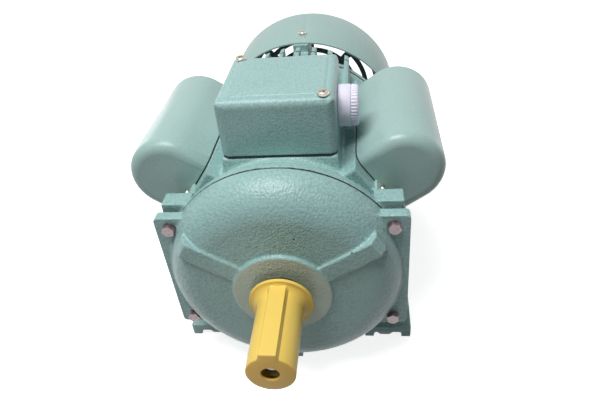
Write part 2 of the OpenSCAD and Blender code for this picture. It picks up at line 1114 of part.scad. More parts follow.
module fan_clip() {
    color(steel)
        ring(fan_y + fan_w + fit, fan_y + fan_w + clip_t - fit, fan_seat_r - clip_groove + fit, clip_r);
}

module cowl_outline(inset) {
    r = cowl_r - inset;
    round_r = cowl_round - inset;
    end_y = cowl_end - inset;
    square_to(r, cowl_y - inset, end_y - round_r);
    square_to(r - round_r, cowl_y - inset, end_y);
    translate([r - round_r, end_y - round_r])
        circle(round_r);
}

module fan_cowl() {
    color(press_green)
        difference() {
            turned()
                difference() {
                    cowl_outline(0);
                    cowl_outline(cowl_t);
                }
            slab(cowl_end - cowl_round, cowl_end + over)
                difference() {
                    for (r = grille_rings)
                        difference() {
                            circle(r + grille_slot / 2);
                            circle(r - grille_slot / 2);
                        }
                    for (i = [0 : spoke_count / 2 - 1])
                        rotate(i * 360 / spoke_count)
                            square([2 * cowl_r, spoke_w], center = true);
                }
            for (a = cowl_screw_angles)
                cowl_screw_axis(a)
                    cylinder(h = 4 * cowl_t, r = screw_r + loose, center = true);
        }
}

// A pan head with its face up and a cross slot, on a plain shank below the origin
module pan_screw(shank_r, shank_l, head_r, head_h) {
    translate([0, 0, -shank_l])
        cylinder(h = shank_l, r = shank_r);
    difference() {
        cylinder(h = head_h, r = head_r);
        for (a = [0, 90])
            rotate(a)
                translate([0, 0, head_h])
                    cube([slot_long * head_r, slot_wide * head_r, head_h], center = true);
    }
}

module cowl_screws() {
    color(zinc)
        for (a = cowl_screw_angles)
            cowl_screw_axis(a)
                pan_screw(screw_r, cowl_screw_l, pan_r, pan_h);
}

// Terminal box: deep cover on a gasket, board and studs inside, gland in its right wall

// The cover's outer form, or its hollow when inset
module cover_form(inset) {
    w = box_w - 2 * inset;
    l = box_l - 2 * inset;
    r = box_round - inset / 2;
    h = box_h - inset;
    intersection() {
        translate([0, box_mid, cover_z])
            linear_extrude(h)
                round_rect(w, l, r);
        translate([0, box_mid + box_l, cover_z])
            rotate([90, 0, 0])
                linear_extrude(2 * box_l)
                    top_rounded(w, h, r);
        translate([-box_w, box_mid, cover_z])
            rotate([90, 0, 90])
                linear_extrude(2 * box_w)
                    top_rounded(l, h, r);
    }
}

// An upright outline, round at its two top corners
module top_rounded(w, h, r) {
    translate([-w / 2, -over])
        square([w, h - r + over]);
    translate([-w / 2 + r, -over])
        square([w - 2 * r, h + over]);
    for (s = [-1, 1])
        translate([s * (w / 2 - r), h - r])
            circle(r);
}

module gland_axis() {
    translate([box_w / 2, gland_y, gland_z])
        rotate([0, 90, 0])
            children();
}

module terminal_cover() {
    color(cast_green)
        difference() {
            union() {
                difference() {
                    cover_form(0);
                    cover_form(cover_t);
                }
                for (p = cover_screw_places)
                    translate([p[0], p[1], cover_z])
                        cylinder(h = box_h - cover_t / 2, r = cover_post_r);
                translate([0, box_mid, cover_z + box_h - cover_t / 2])
                    linear_extrude(cover_t / 2 + panel_rise)
                        round_rect(box_w - 2 * panel_in, box_l - 2 * panel_in, box_round);
            }
            for (p = cover_screw_places) {
                translate([p[0], p[1], cover_z - over])
                    cylinder(h = box_h + 2 * over, r = screw_r + loose);
                translate([p[0], p[1], cover_z + box_h])
                    cylinder(h = cover_t, r = pan_r + loose);
            }
            gland_axis()
                cylinder(h = 4 * cover_t, r = gland_thread_r + loose, center = true);
        }
}

module terminal_gasket() {
    color(black)
        difference() {
            translate([0, box_mid, cover_z - gasket_t])
                linear_extrude(gasket_t)
                    difference() {
                        round_rect(box_w - loose, box_l - loose, box_round);
                        round_rect(box_w - 2 * panel_in, box_l - 2 * panel_in, box_round);
                    }
            for (p = cover_screw_places)
                translate([p[0], p[1], cover_z - 2 * gasket_t])
                    cylinder(h = 3 * gasket_t, r = screw_r + loose);
        }
}

module terminal_cover_screws() {
    color(zinc)
        for (p = cover_screw_places)
            translate([p[0], p[1], cover_z + box_h])
                pan_screw(screw_r, box_h + gasket_t + cover_screw_grip - tip_gap, pan_r, pan_h);
}

module stud_places() {
    for (i = [-1 : 1], s = [-1, 1])
        translate([i * stud_pitch, box_mid + board_shift + s * board_l / 4, axis_h + saddle_z])
            children();
}

module terminal_board() {
    color(bakelite)
        difference() {
            translate([-board_w / 2, box_mid + board_shift - board_l / 2, axis_h + saddle_z])
                cube([board_w, board_l, board_h]);
            stud_places()
                cylinder(h = 2 * stud_h, r = stud_r + fit);
        }
}

module terminal_studs() {
    color(brass)
        stud_places() {
            cylinder(h = stud_h, r = stud_r);
            translate([0, 0, board_h])
                cylinder(h = stud_nut_h, r = stud_nut_r, $fn = 6);
        }
}

module gland_body() {
    color(white)
        gland_axis()
            difference() {
                union() {
                    cylinder(h = gland_l, r = gland_r);
                    translate([0, 0, -gland_tail])
                        cylinder(h = gland_tail + over, r = gland_thread_r);
                    cylinder(h = gland_l + gland_cap_l - gland_wall, r = gland_cap_r - gland_wall);
                }
                translate([0, 0, -gland_tail - over])
                    cylinder(h = gland_tail + gland_l + gland_cap_l, r = gland_bore_r + loose);
                translate([0, 0, gland_l - gland_cap_l])
                    cylinder(h = 2 * gland_cap_l, r = gland_seal_r);
            }
}

module gland_cap() {
    color(white)
        gland_axis()
            difference() {
                translate([0, 0, gland_l])
                    union() {
                        cylinder(h = gland_cap_l, r = gland_cap_r);
                        for (i = [0 : gland_rib_count - 1])
                            rotate(i * 360 / gland_rib_count)
                                translate([gland_cap_r - gland_rib_r / 2, 0, 0])
                                    cylinder(h = gland_cap_l - gland_wall / 2, r = gland_rib_r);
                    }
                translate([0, 0, gland_l - over])
                    cylinder(h = gland_cap_l - gland_wall + over, r = gland_cap_r - gland_wall + fit);
                cylinder(h = 2 * gland_l + gland_cap_l, r = gland_bore_r + loose);
            }
}

module gland_seal() {
    color(black)
        gland_axis()
            difference() {
                translate([0, 0, gland_l - gland_cap_l])
                    cylinder(h = 2 * gland_cap_l - gland_wall, r = gland_seal_r - fit);
                cylinder(h = 2 * gland_l + gland_cap_l, r = gland_bore_r);
            }
}

module gland_locknut() {
    color(white)
        gland_axis()
            translate([0, 0, -cover_t - gland_nut_l])
                difference() {
                    cylinder(h = gland_nut_l, r = gland_nut_r, $fn = 6);
                    translate([0, 0, -over])
                        cylinder(h = gland_nut_l + 2 * over, r = gland_thread_r + fit);
                }
}

// Capacitors: two cans under pressed covers, one on each sloping pad

// Draws on the right pad: x outward along the pad's slope, y up along its width, z along the motor
module on_pad() {
    translate([0, cap_y + cap_l / 2, axis_h])
        rotate([90, 0, 0])
            rotate(cap_tilt)
                children();
}

module capacitor_screw_places() {
    for (end = [-1, 1])
        on_pad()
            translate([cap_pad + cap_t, 0, end * (cap_l + tab_l) / 2])
                rotate([0, 90, 0])
                    children();
}

// The cover's round-backed form, or its hollow when inset
module hump(inset) {
    half = cap_half - inset;
    long = cap_l - 2 * inset;
    r = cap_round - inset;
    on_pad() {
        translate([cap_pad - inset, 0, 0])
            rotate([0, 90, 0])
                linear_extrude(cap_rise + inset)
                    round_rect(long, 2 * half, r);
        translate([cap_pad + cap_rise, 0, 0])
            rotate(-90)
                rotate_extrude(angle = 180)
                    intersection() {
                        round_rect(2 * half, long, r);
                        translate([0, -long])
                            square(2 * long);
                    }
    }
}

module capacitor_cover() {
    color(press_green)
        difference() {
            union() {
                hump(0);
                for (end = [-1, 1])
                    on_pad()
                        translate([cap_pad - (cap_gasket_t - cap_t) / 2, 0, end * (cap_l + tab_l - over) / 2])
                            cube([cap_gasket_t + cap_t, tab_w, tab_l + over], center = true);
            }
            hump(cap_t);
            capacitor_screw_places()
                cylinder(h = cap_screw_grip, r = small_screw_r + loose, center = true);
        }
}

module right_capacitor_cover() {
    capacitor_cover();
}

module left_capacitor_cover() {
    mirror([1, 0, 0])
        capacitor_cover();
}

module capacitor_gaskets() {
    color(black)
        both_sides()
            on_pad()
                translate([cap_pad - cap_gasket_t, 0, 0])
                    rotate([0, 90, 0])
                        linear_extrude(cap_gasket_t)
                            difference() {
                                round_rect(cap_l - 2 * cap_gasket_in, 2 * cap_half - loose, cap_round);
                                round_rect(
                                    cap_l - 2 * cap_gasket_rim,
                                    2 * (cap_half - cap_gasket_rim),
                                    cap_round - cap_gasket_rim
                                );
                            }
}

module capacitor_cover_screws() {
    color(zinc)
        both_sides()
            capacitor_screw_places()
                pan_screw(small_screw_r, cap_screw_grip / 2 - tip_gap, small_pan_r, pan_h);
}

module capacitor_can() {
    color(tin)
        on_pad()
            translate([can_x, 0, -cap_l / 2 + can_gap])
                cylinder(h = cap_l - 2 * can_gap, r = can_r);
}

module right_capacitor() {
    capacitor_can();
}

module left_capacitor() {
    mirror([1, 0, 0])
        capacitor_can();
}

// The strap's outline, or the can's place inside it: a round back on straight legs
module strap_outline(r, foot_x) {
    intersection() {
        translate([can_x, 0])
            circle(r);
        translate([can_x, -r])
            square(2 * r);
    }
    translate([foot_x, -r])
        square([can_x - foot_x, 2 * r]);
}

module capacitor_straps() {
    pad_x = cap_pad - cap_gasket_t;
    color(steel)
        both_sides()
            on_pad()
                translate([0, 0, -strap_w / 2])
                    linear_extrude(strap_w)
                        difference() {
                            strap_outline(can_r + fit + strap_t, pad_x);
                            strap_outline(can_r + fit, pad_x - over);
                        }
}

// Sleeve that guards the shaft extension, with a raised facet over the key

module sleeve_outline() {
    step = 360 / sleeve_sides;
    first = 90 + step / 2;
    flank = [for (i = [1 : sleeve_sides - 2]) first + i * step];
    polygon(concat(
        [[sleeve_key_half, sleeve_key_top], [-sleeve_key_half, sleeve_key_top]],
        [for (a = flank) sleeve_r * [cos(a), sin(a)]]
    ));
}

module shaft_protector() {
    end_y = shaft_end_y - sleeve_over;
    color(yellow)
        difference() {
            union() {
                slab(end_y, shoulder_y)
                    sleeve_outline();
                turned()
                    polygon([
                        [shaft_d / 2, shoulder_y],
                        [sleeve_flange_r, shoulder_y],
                        [sleeve_flange_r, shoulder_y - sleeve_flange_t],
                        [sleeve_flare_r, shoulder_y - sleeve_flange_t],
                        [shaft_d / 2, shoulder_y - sleeve_flange_t - sleeve_flare_l]
                    ]);
            }
            bar(end_y + sleeve_end_t, shoulder_y + over, shaft_d / 2 + loose);
            bar(end_y - over, shoulder_y, sleeve_hole_r);
            translate([-key_w / 2 - loose, end_y + sleeve_end_t, axis_h])
                cube([
                    key_w + 2 * loose,
                    shoulder_y + over - end_y - sleeve_end_t,
                    shaft_d / 2 - key_depth + key_h + loose
                ]);
        }
}

frame();
stator_core();
stator_windings();
drive_end_shield();
drive_shield_bolts();
drive_shield_washers();
rear_end_shield();
rear_shield_bolts();
rear_shield_washers();
drive_bearing_outer();
drive_bearing_inner();
drive_bearing_balls();
preload_washer();
rear_bearing_outer();
rear_bearing_inner();
rear_bearing_balls();
shaft();
shaft_key();
shaft_seal();
rotor_core();
rotor_end_rings();
governor_carrier();
governor_pins();
left_governor_weight();
right_governor_weight();
governor_collar();
switch_board();
switch_arm();
cooling_fan();
fan_clip();
fan_cowl();
cowl_screws();
terminal_cover();
terminal_gasket();
terminal_cover_screws();
terminal_board();
terminal_studs();
gland_body();
gland_cap();
gland_seal();
gland_locknut();
left_capacitor_cover();
right_capacitor_cover();
capacitor_gaskets();
capacitor_cover_screws();
left_capacitor();
right_capacitor();
capacitor_straps();
shaft_protector();
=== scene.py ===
import math

import bmesh
import bpy
from mathutils import Matrix, Vector


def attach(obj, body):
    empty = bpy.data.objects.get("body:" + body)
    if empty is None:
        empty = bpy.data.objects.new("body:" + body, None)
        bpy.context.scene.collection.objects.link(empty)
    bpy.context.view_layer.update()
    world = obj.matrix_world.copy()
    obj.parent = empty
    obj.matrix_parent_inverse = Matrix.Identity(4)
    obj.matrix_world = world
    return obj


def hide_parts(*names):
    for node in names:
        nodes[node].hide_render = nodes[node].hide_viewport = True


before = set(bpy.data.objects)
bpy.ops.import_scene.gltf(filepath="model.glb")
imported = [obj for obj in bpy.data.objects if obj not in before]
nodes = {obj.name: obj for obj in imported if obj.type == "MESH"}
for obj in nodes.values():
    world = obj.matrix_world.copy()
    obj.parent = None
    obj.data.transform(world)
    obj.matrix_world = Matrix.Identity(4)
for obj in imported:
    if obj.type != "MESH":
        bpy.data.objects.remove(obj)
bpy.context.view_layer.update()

# Frame: one grey-iron casting with the feet, fins, bolt ears, box saddle and capacitor pads.
# It is sand cast, fettled and sprayed, so its edges are soft and its inner corners are filled.
# The motor's sizes are in mm, and MM and METRE turn them into the scene's metres.

MM = 0.001
METRE = 1000.0
FRAME_GRID = 1.0
FRAME_SOFTENING = 5
FRAME_KEPT = 0.45
FETTLING = 0.5
CASTING_GREEN = "#A0C5C2"
CASTING_HOLLOW = "#688D8B"
CASTING_CELL = 1.6
CASTING_RELIEF = 0.34
RIPPLE_CELLS = 1.1
HEIGHT_SPAN = 0.35
HOLLOW_SHARE = 0.85
COAT_DRIFT = 60.0
# Along both joints a dark line of painted shade stands in for the shade in the gap: its reach either
# side and its colour follow.
JOINTS = (-71.0, 99.0)
JOINT_SHADE_REACH = 1.0
JOINT_PAINTED_SHADE = "#1E2624"

# Sockets of a colour mix: its share, the colour under it, the colour over it and the result.
SHARE, UNDER, OVER, MIXED = 0, 6, 7, 2


def linear(code):
    """A linear colour from an sRGB hex value."""
    srgb = [int(code[i : i + 2], 16) / 255 for i in (1, 3, 5)]
    return [c / 12.92 if c <= 0.04045 else ((c + 0.055) / 1.055) ** 2.4 for c in srgb] + [1.0]


def add(tree, kind, inputs=None, **settings):
    """A new node with its settings, and its inputs set or linked."""
    made = tree.nodes.new(kind)
    for name, value in settings.items():
        setattr(made, name, value)
    for socket, value in (inputs or {}).items():
        if isinstance(value, bpy.types.NodeSocket):
            tree.links.new(value, made.inputs[socket])
        else:
            made.inputs[socket].default_value = value
    return made


def new_finish(name):
    """An empty material, its node tree and its object-space coordinates."""
    material = bpy.data.materials.new(name)
    material.use_nodes = True
    material.node_tree.nodes.clear()
    place = add(material.node_tree, "ShaderNodeTexCoord").outputs["Object"]
    return material, material.node_tree, place


def patched(tree, place, colour, patches):
    """A colour with each of the (mask, colour) patches laid over it."""
    for mask, patch in patches:
        layers = {SHARE: mask(tree, place), UNDER: colour, OVER: linear(patch)}
        colour = add(tree, "ShaderNodeMix", layers, data_type="RGBA").outputs[MIXED]
    return colour


def close_finish(tree, sockets):
    """The surface shader of a material, with its sockets, and the output."""
    surface = add(tree, "ShaderNodeBsdfPrincipled", sockets)
    add(tree, "ShaderNodeOutputMaterial", {"Surface": surface.outputs[0]})


def enamel(name, colour, hollow, cell, relief, roughness, patches=(), dulling=0.14):
    """Sprayed enamel whose cells are `cell` mm wide and `relief` mm deep.

    The hollows between the cells hold a darker tone, and tone and gloss drift a little over
    `COAT_DRIFT` mm, as in a hand-sprayed coat. `patches` are (mask, colour) pairs over it.
    """
    material, tree, place = new_finish(name)
    cells = add(
        tree,
        "ShaderNodeTexVoronoi",
        {"Vector": place, "Scale": METRE / cell, "Smoothness": 0.7},
        feature="SMOOTH_F1",
    )
    ripple = add(
        tree,
        "ShaderNodeTexNoise",
        {"Vector": place, "Scale": METRE / (RIPPLE_CELLS * cell), "Detail": 3.0},
    )
    height = add(
        tree,
        "ShaderNodeMath",
        {0: ripple.outputs["Fac"], 1: cells.outputs["Distance"]},
        operation="SUBTRACT",
    )
    bump = add(
        tree,
        "ShaderNodeBump",
        {"Height": height.outputs[0], "Distance": relief * MM, "Strength": 0.8},
    )
    drift = add(
        tree,
        "ShaderNodeTexNoise",
        {"Vector": place, "Scale": METRE / COAT_DRIFT, "Detail": 2.0},
    )
    depth = add(
        tree,
        "ShaderNodeMapRange",
        {
            "Value": height.outputs[0],
            "From Min": -HEIGHT_SPAN,
            "From Max": HEIGHT_SPAN,
            "To Min": HOLLOW_SHARE,
            "To Max": 0.0,
        },
    )
    shade = add(
        tree,
        "ShaderNodeMath",
        {0: depth.outputs[0], 1: drift.outputs["Fac"]},
        operation="MULTIPLY",
    )
    tone = add(
        tree,
        "ShaderNodeMix",
        {SHARE: shade.outputs[0], UNDER: linear(colour), OVER: linear(hollow)},
        data_type="RGBA",
    )
    painted = patched(tree, place, tone.outputs[MIXED], patches)
    rough = add(
        tree,
        "ShaderNodeMapRange",
        {"Value": drift.outputs["Fac"], "To Min": roughness, "To Max": roughness + dulling},
    )
    close_finish(
        tree,
        {
            "Base Color": painted,
            "Roughness": rough.outputs[0],
            "Normal": bump.outputs[0],
            "Specular IOR Level": 0.36,
        },
    )
    return material


def dress(piece, material):
    """Gives a piece its finish."""
    piece.data.materials.clear()
    piece.data.materials.append(material)


def new_piece(name, mesh):
    """A new piece in the scene, from its mesh."""
    piece = bpy.data.objects.new(name, mesh)
    bpy.context.scene.collection.objects.link(piece)
    return piece


def casting(node, name, grid, softening, kept):
    """A copy of a casting's solid with its edges worn round and its inner corners filled.

    It is rebuilt on a `grid` mm grid, rubbed down `softening` times, and keeps a share of its faces.
    """
    piece = new_piece(name, nodes[node].data.copy())
    sand = piece.modifiers.new("sand", "REMESH")
    sand.mode = "VOXEL"
    sand.voxel_size = grid * MM
    fettle = piece.modifiers.new("fettle", "SMOOTH")
    fettle.factor = FETTLING
    fettle.iterations = softening
    thin = piece.modifiers.new("thin", "DECIMATE")
    thin.ratio = kept
    worn = piece.evaluated_get(bpy.context.evaluated_depsgraph_get())
    shaped = bpy.data.meshes.new_from_object(worn)
    piece.modifiers.clear()
    piece.data = shaped
    shaped.shade_smooth()
    return piece


def painted_joint_shade(tree, place):
    """1 along the joints with both shields, where the gap's shade is painted in as a dark line."""
    along = add(tree, "ShaderNodeSeparateXYZ", {0: place}).outputs["Y"]
    ends = [
        add(
            tree,
            "ShaderNodeMath",
            {0: along, 1: joint * MM, 2: JOINT_SHADE_REACH * MM},
            operation="COMPARE",
        ).outputs[0]
        for joint in JOINTS
    ]
    return add(tree, "ShaderNodeMath", {0: ends[0], 1: ends[1]}, operation="MAXIMUM").outputs[0]


# Stoved hammer-finish enamel dries into small domed cells, which catch the light as fine specks.
frame_enamel = enamel(
    "hammer_enamel_on_iron",
    CASTING_GREEN,
    CASTING_HOLLOW,
    CASTING_CELL,
    CASTING_RELIEF,
    roughness=0.27,
    # The patch is painted shade along the joints with the shields.
    patches=[(painted_joint_shade, JOINT_PAINTED_SHADE)],
)
frame_casting = casting("frame", "frame_casting", FRAME_GRID, FRAME_SOFTENING, FRAME_KEPT)
dress(frame_casting, frame_enamel)
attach(frame_casting, "stator")
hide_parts("frame")

# Stator: a stack of slotted electrical-steel sheets pressed into the frame, wound with copper.
# The sheets are 0.5 mm thick, and the wire is enamelled and then varnished in place.

SHEET_THICK = 0.5
WIRE_THICK = 0.9

# A wave texture of scale 1 repeats after this length.
WAVE_REPEAT = math.pi / 10


def layered(name, light, dark, pitch, relief, metallic, roughness):
    """Layers or turns side by side along Y, `pitch` mm apart with grooves `relief` mm deep."""
    material, tree, place = new_finish(name)
    layers = add(
        tree,
        "ShaderNodeTexWave",
        {
            "Vector": place,
            "Scale": WAVE_REPEAT * METRE / pitch,
            "Distortion": 0.6,
            "Detail": 1.0,
        },
        wave_type="BANDS",
        bands_direction="Y",
    )
    tone = add(
        tree,
        "ShaderNodeMix",
        {SHARE: layers.outputs["Fac"], UNDER: linear(dark), OVER: linear(light)},
        data_type="RGBA",
    )
    bump = add(
        tree,
        "ShaderNodeBump",
        {"Height": layers.outputs["Fac"], "Distance": relief * MM},
    )
    close_finish(
        tree,
        {
            "Base Color": tone.outputs[MIXED],
            "Metallic": metallic,
            "Roughness": roughness,
            "Normal": bump.outputs[0],
        },
    )
    return material


# Stacked sheets look dull grey, with a fine dark line between each sheet and the next.
core_sheets = layered(
    "electrical_steel_sheets",
    light="#6E7074",
    dark="#45474B",
    pitch=SHEET_THICK,
    relief=0.06,
    metallic=1.0,
    roughness=0.45,
)
dress(nodes["stator_core"], core_sheets)

# Varnished wire is a glossy brown over copper, and each turn of it shows as a ridge.
copper_wire = layered(
    "enamelled_copper_wire",
    light="#B4713C",
    dark="#6B3517",
    pitch=WIRE_THICK,
    relief=0.3,
    metallic=0.6,
    roughness=0.3,
)
dress(nodes["stator_windings"], copper_wire)

# Drive-end shield: a domed iron casting with two ribs, bolt ears and the bearing boss.
# It has the frame's hammer-finish enamel, and its boss is faced on the lathe before a thin coat.

SHIELD_GRID = 0.7
SHIELD_SOFTENING = 2
SHIELD_KEPT = 0.5
AXIS_HEIGHT = 90.0
BOSS_RADIUS = 33.6
BOSS_FRONT = -99.8
BOSS_BLEND = 0.6
# The boss colour is partly its thinner olive coat and partly painted light: it is lighter than that
# coat to make up for the shade it lies in.
BOSS_OLIVE_AND_PAINTED_LIGHT = "#C0D0C4"
CHIP = 0.7
CHIP_SPACING = 20.0
PRIMER = "#3E4A47"


def boss_face(tree, place):
    """1 on the faced end of the boss, 0 elsewhere."""
    across = add(
        tree,
        "ShaderNodeVectorMath",
        {0: place, 1: (0.0, 0.0, -AXIS_HEIGHT * MM)},
        operation="ADD",
    )
    flat = add(
        tree,
        "ShaderNodeVectorMath",
        {0: across.outputs[0], 1: (1.0, 0.0, 1.0)},
        operation="MULTIPLY",
    )
    radius = add(tree, "ShaderNodeVectorMath", {0: flat.outputs[0]}, operation="LENGTH")
    inside = add(
        tree,
        "ShaderNodeMapRange",
        {
            "Value": radius.outputs["Value"],
            "From Min": (BOSS_RADIUS - BOSS_BLEND) * MM,
            "From Max": BOSS_RADIUS * MM,
            "To Min": 1.0,
            "To Max": 0.0,
        },
    )
    along = add(tree, "ShaderNodeSeparateXYZ", {0: place}).outputs["Y"]
    front = add(tree, "ShaderNodeMath", {0: along, 1: BOSS_FRONT * MM}, operation="LESS_THAN")
    return add(
        tree,
        "ShaderNodeMath",
        {0: inside.outputs[0], 1: front.outputs[0]},
        operation="MULTIPLY",
    ).outputs[0]


def chips(tree, place):
    """1 in a few specks, at most `CHIP` mm in radius, where the paint is knocked off."""
    far = add(
        tree,
        "ShaderNodeTexVoronoi",
        {"Vector": place, "Scale": METRE / CHIP_SPACING},
        feature="F1",
    )
    return add(
        tree,
        "ShaderNodeMath",
        {0: far.outputs["Distance"], 1: CHIP / CHIP_SPACING},
        operation="LESS_THAN",
    ).outputs[0]


drive_shield = casting(
    "drive_end_shield",
    "drive_end_shield_casting",
    SHIELD_GRID,
    SHIELD_SOFTENING,
    SHIELD_KEPT,
)

# The same enamel is thinner and more olive on the faced boss, and painted lighter there as painted
# light for the shade it lies in; it is chipped to its primer in specks.
shield_enamel = enamel(
    "hammer_enamel_on_shield",
    CASTING_GREEN,
    CASTING_HOLLOW,
    CASTING_CELL,
    CASTING_RELIEF,
    roughness=0.25,
    # The joints carry the same painted shade as the frame's.
    patches=[(boss_face, BOSS_OLIVE_AND_PAINTED_LIGHT), (painted_joint_shade, JOINT_PAINTED_SHADE), (chips, PRIMER)],
)
dress(drive_shield, shield_enamel)
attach(drive_shield, "stator")
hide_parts("drive_end_shield")

# Shield bolts: zinc-plated M5 hex bolts with split spring washers, four at each end.
# The heads are forged with a 30 degree chamfer and a shallow dish, and screw into the frame's ears.

BOLT_PLACES = [(x, z) for x in (-74.5, 74.5) for z in (-42.6, 42.6)]
DRIVE_WASHER_FACE = -79.8
REAR_WASHER_FACE = 107.8
BOLT_FLATS = 8.0
BOLT_HEAD = 3.5
BOLT_RADIUS = 2.5
BOLT_LENGTH = 25.0
BOLT_POINT = 0.5
BOLT_TWIST = 17
HEAD_CROWN = 3.8
HEAD_SLOPE = 30
HEAD_UNDERCUT = 0.35
DISH_RIM = 2.48
DISH_FLOOR = 2.0
DISH_DEPTH = 0.3
ROUND_STEPS = 48
WASHER_RADIUS = 4.6
WASHER_THICK = 1.2
WASHER_PLAY = 0.1
WASHER_GAP_RADIANS = 0.34
WASHER_STEPS = 40


def metal(name, light, dull, roughness, grain, relief=0.02, polish=0.06, dulling=0.12):
    """Bare or plated metal whose tone and gloss vary over a `grain` mm pattern."""
    material, tree, place = new_finish(name)
    mottle = add(
        tree,
        "ShaderNodeTexNoise",
        {"Vector": place, "Scale": METRE / grain, "Detail": 4.0},
    )
    tone = add(
        tree,
        "ShaderNodeMix",
        {SHARE: mottle.outputs["Fac"], UNDER: linear(light), OVER: linear(dull)},
        data_type="RGBA",
    )
    rough = add(
        tree,
        "ShaderNodeMapRange",
        {
            "Value": mottle.outputs["Fac"],
            "To Min": roughness - polish,
            "To Max": roughness + dulling,
        },
    )
    bump = add(
        tree,
        "ShaderNodeBump",
        {"Height": mottle.outputs["Fac"], "Distance": relief * MM},
    )
    close_finish(
        tree,
        {
            "Base Color": tone.outputs[MIXED],
            "Metallic": 1.0,
            "Roughness": rough.outputs[0],
            "Normal": bump.outputs[0],
        },
    )
    return material


def move(x, y, z):
    """A move by millimetres."""
    return Matrix.Translation(Vector((x, y, z)) * MM)


def rotate(degrees, axis):
    """A turn about an axis through the origin."""
    return Matrix.Rotation(math.radians(degrees), 4, axis)


def circle(radius, height):
    """The points of a level circle about Z, as a function of the angle."""
    return lambda angle: (radius * math.cos(angle), radius * math.sin(angle), height)


def ring_of(bm, count, outline):
    """One closed ring of vertices, from a function of the angle, in mm."""
    return [bm.verts.new(Vector(outline(2 * math.pi * i / count)) * MM) for i in range(count)]


def skin(bm, rings):
    """Faces between each ring and the next."""
    for low, high in zip(rings, rings[1:]):
        for i in range(len(low)):
            j = (i + 1) % len(low)
            bm.faces.new((low[i], low[j], high[j], high[i]))


def set_in_place(bm, start, place):
    """Moves what was added to a mesh since it had `start` vertices."""
    bm.verts.ensure_lookup_table()
    bmesh.ops.transform(bm, matrix=place, verts=bm.verts[start:])


def hex_bolt(bm, place):
    """A hex bolt along +Z with its head's bearing face on the origin."""

    def hex_radius(angle):
        return BOLT_FLATS / 2 / math.cos(angle % math.radians(60) - math.radians(30))

    def hexagon(angle, height):
        return circle(hex_radius(angle), height)(angle)

    def chamfer(angle):
        return BOLT_HEAD - (hex_radius(angle) - HEAD_CROWN) * math.tan(math.radians(HEAD_SLOPE))

    start = len(bm.verts)
    outlines = [
        circle(BOLT_RADIUS - BOLT_POINT, -BOLT_LENGTH),
        circle(BOLT_RADIUS, BOLT_POINT - BOLT_LENGTH),
        circle(BOLT_RADIUS, 0.0),
        circle(HEAD_CROWN, 0.0),
        lambda angle: hexagon(angle, HEAD_UNDERCUT),
        lambda angle: hexagon(angle, chamfer(angle)),
        circle(HEAD_CROWN, BOLT_HEAD),
        circle(DISH_RIM, BOLT_HEAD),
        circle(DISH_FLOOR, BOLT_HEAD - DISH_DEPTH),
    ]
    rings = [ring_of(bm, ROUND_STEPS, outline) for outline in outlines]
    skin(bm, rings)
    bm.faces.new(rings[-1])
    bm.faces.new(rings[0][::-1])
    set_in_place(bm, start, place)


def spring_washer(bm, place):
    """A split spring washer on the origin's plane, up to its thickness along +Z."""
    hole = BOLT_RADIUS + WASHER_PLAY
    section = [
        circle(hole, 0.0),
        circle(WASHER_RADIUS, 0.0),
        circle(WASHER_RADIUS, WASHER_THICK),
        circle(hole, WASHER_THICK),
    ]
    start = len(bm.verts)
    slices = []
    for step in range(WASHER_STEPS + 1):
        sweep = (2 * math.pi - WASHER_GAP_RADIANS) * step / WASHER_STEPS
        angle = math.pi / 2 + WASHER_GAP_RADIANS / 2 + sweep
        slices.append([bm.verts.new(Vector(corner(angle)) * MM) for corner in section])
    skin(bm, slices)
    bm.faces.new(slices[0][::-1])
    bm.faces.new(slices[-1])
    set_in_place(bm, start, place)


def closed_piece(name, bm, smooth_angle=35):
    """A piece from a finished mesh, with outward faces, smooth over its shallow edges."""
    bmesh.ops.recalc_face_normals(bm, faces=bm.faces[:])
    mesh = bpy.data.meshes.new(name)
    bm.to_mesh(mesh)
    bm.free()
    mesh.shade_smooth()
    mesh.set_sharp_from_angle(angle=math.radians(smooth_angle))
    return new_piece(name, mesh)


# Zinc plate: its grey is darkened to a dull pinkish tone as painted reflection of dark, warm
# surroundings, so it looks cloudy rather than bright.
zinc_with_painted_reflection = metal("zinc_plated_steel_with_painted_reflection", light="#988C8F", dull="#7A6E71", roughness=0.48, grain=1.6)
for end, face, out in (("drive", DRIVE_WASHER_FACE, -1), ("rear", REAR_WASHER_FACE, 1)):
    bolts, washers = bmesh.new(), bmesh.new()
    facing_out = rotate(-90 * out, "X")
    for index, (x, z) in enumerate(BOLT_PLACES):
        seat = move(x, face, AXIS_HEIGHT + z)
        head = move(x, face + out * WASHER_THICK, AXIS_HEIGHT + z)
        spring_washer(washers, seat @ facing_out)
        hex_bolt(bolts, head @ facing_out @ rotate(BOLT_TWIST * index, "Z"))
    for form, kind, bm in (("hex", "bolts", bolts), ("spring", "washers", washers)):
        piece = closed_piece(f"{end}_shield_{form}_{kind}", bm)
        dress(piece, zinc_with_painted_reflection)
        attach(piece, "stator")
        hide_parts(f"{end}_shield_{kind}")

# Rear shield: a shallow iron casting with the rear bearing's hub and three bars that carry the cowl.
# It is bolted to the frame as the drive-end shield is, and has the frame's enamel.

rear_shield = casting(
    "rear_end_shield",
    "rear_end_shield_casting",
    SHIELD_GRID,
    SHIELD_SOFTENING,
    SHIELD_KEPT,
)
dress(rear_shield, frame_enamel)
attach(rear_shield, "stator")
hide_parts("rear_end_shield")

# Bearings: chrome-steel rings and balls in a pressed cage, with a wave washer that loads one of them.
# The rings are pressed on the shaft and slide into the shields' bores.

# Ground steel is bright and close to a mirror.
ground_steel = metal(
    "ground_bearing_steel",
    light="#C6C8CB",
    dull="#9A9CA0",
    roughness=0.16,
    grain=3.0,
    relief=0.004,
)
for end in ("drive", "rear"):
    for piece in ("outer", "inner", "balls"):
        dress(nodes[f"{end}_bearing_{piece}"], ground_steel)
dress(nodes["preload_washer"], ground_steel)

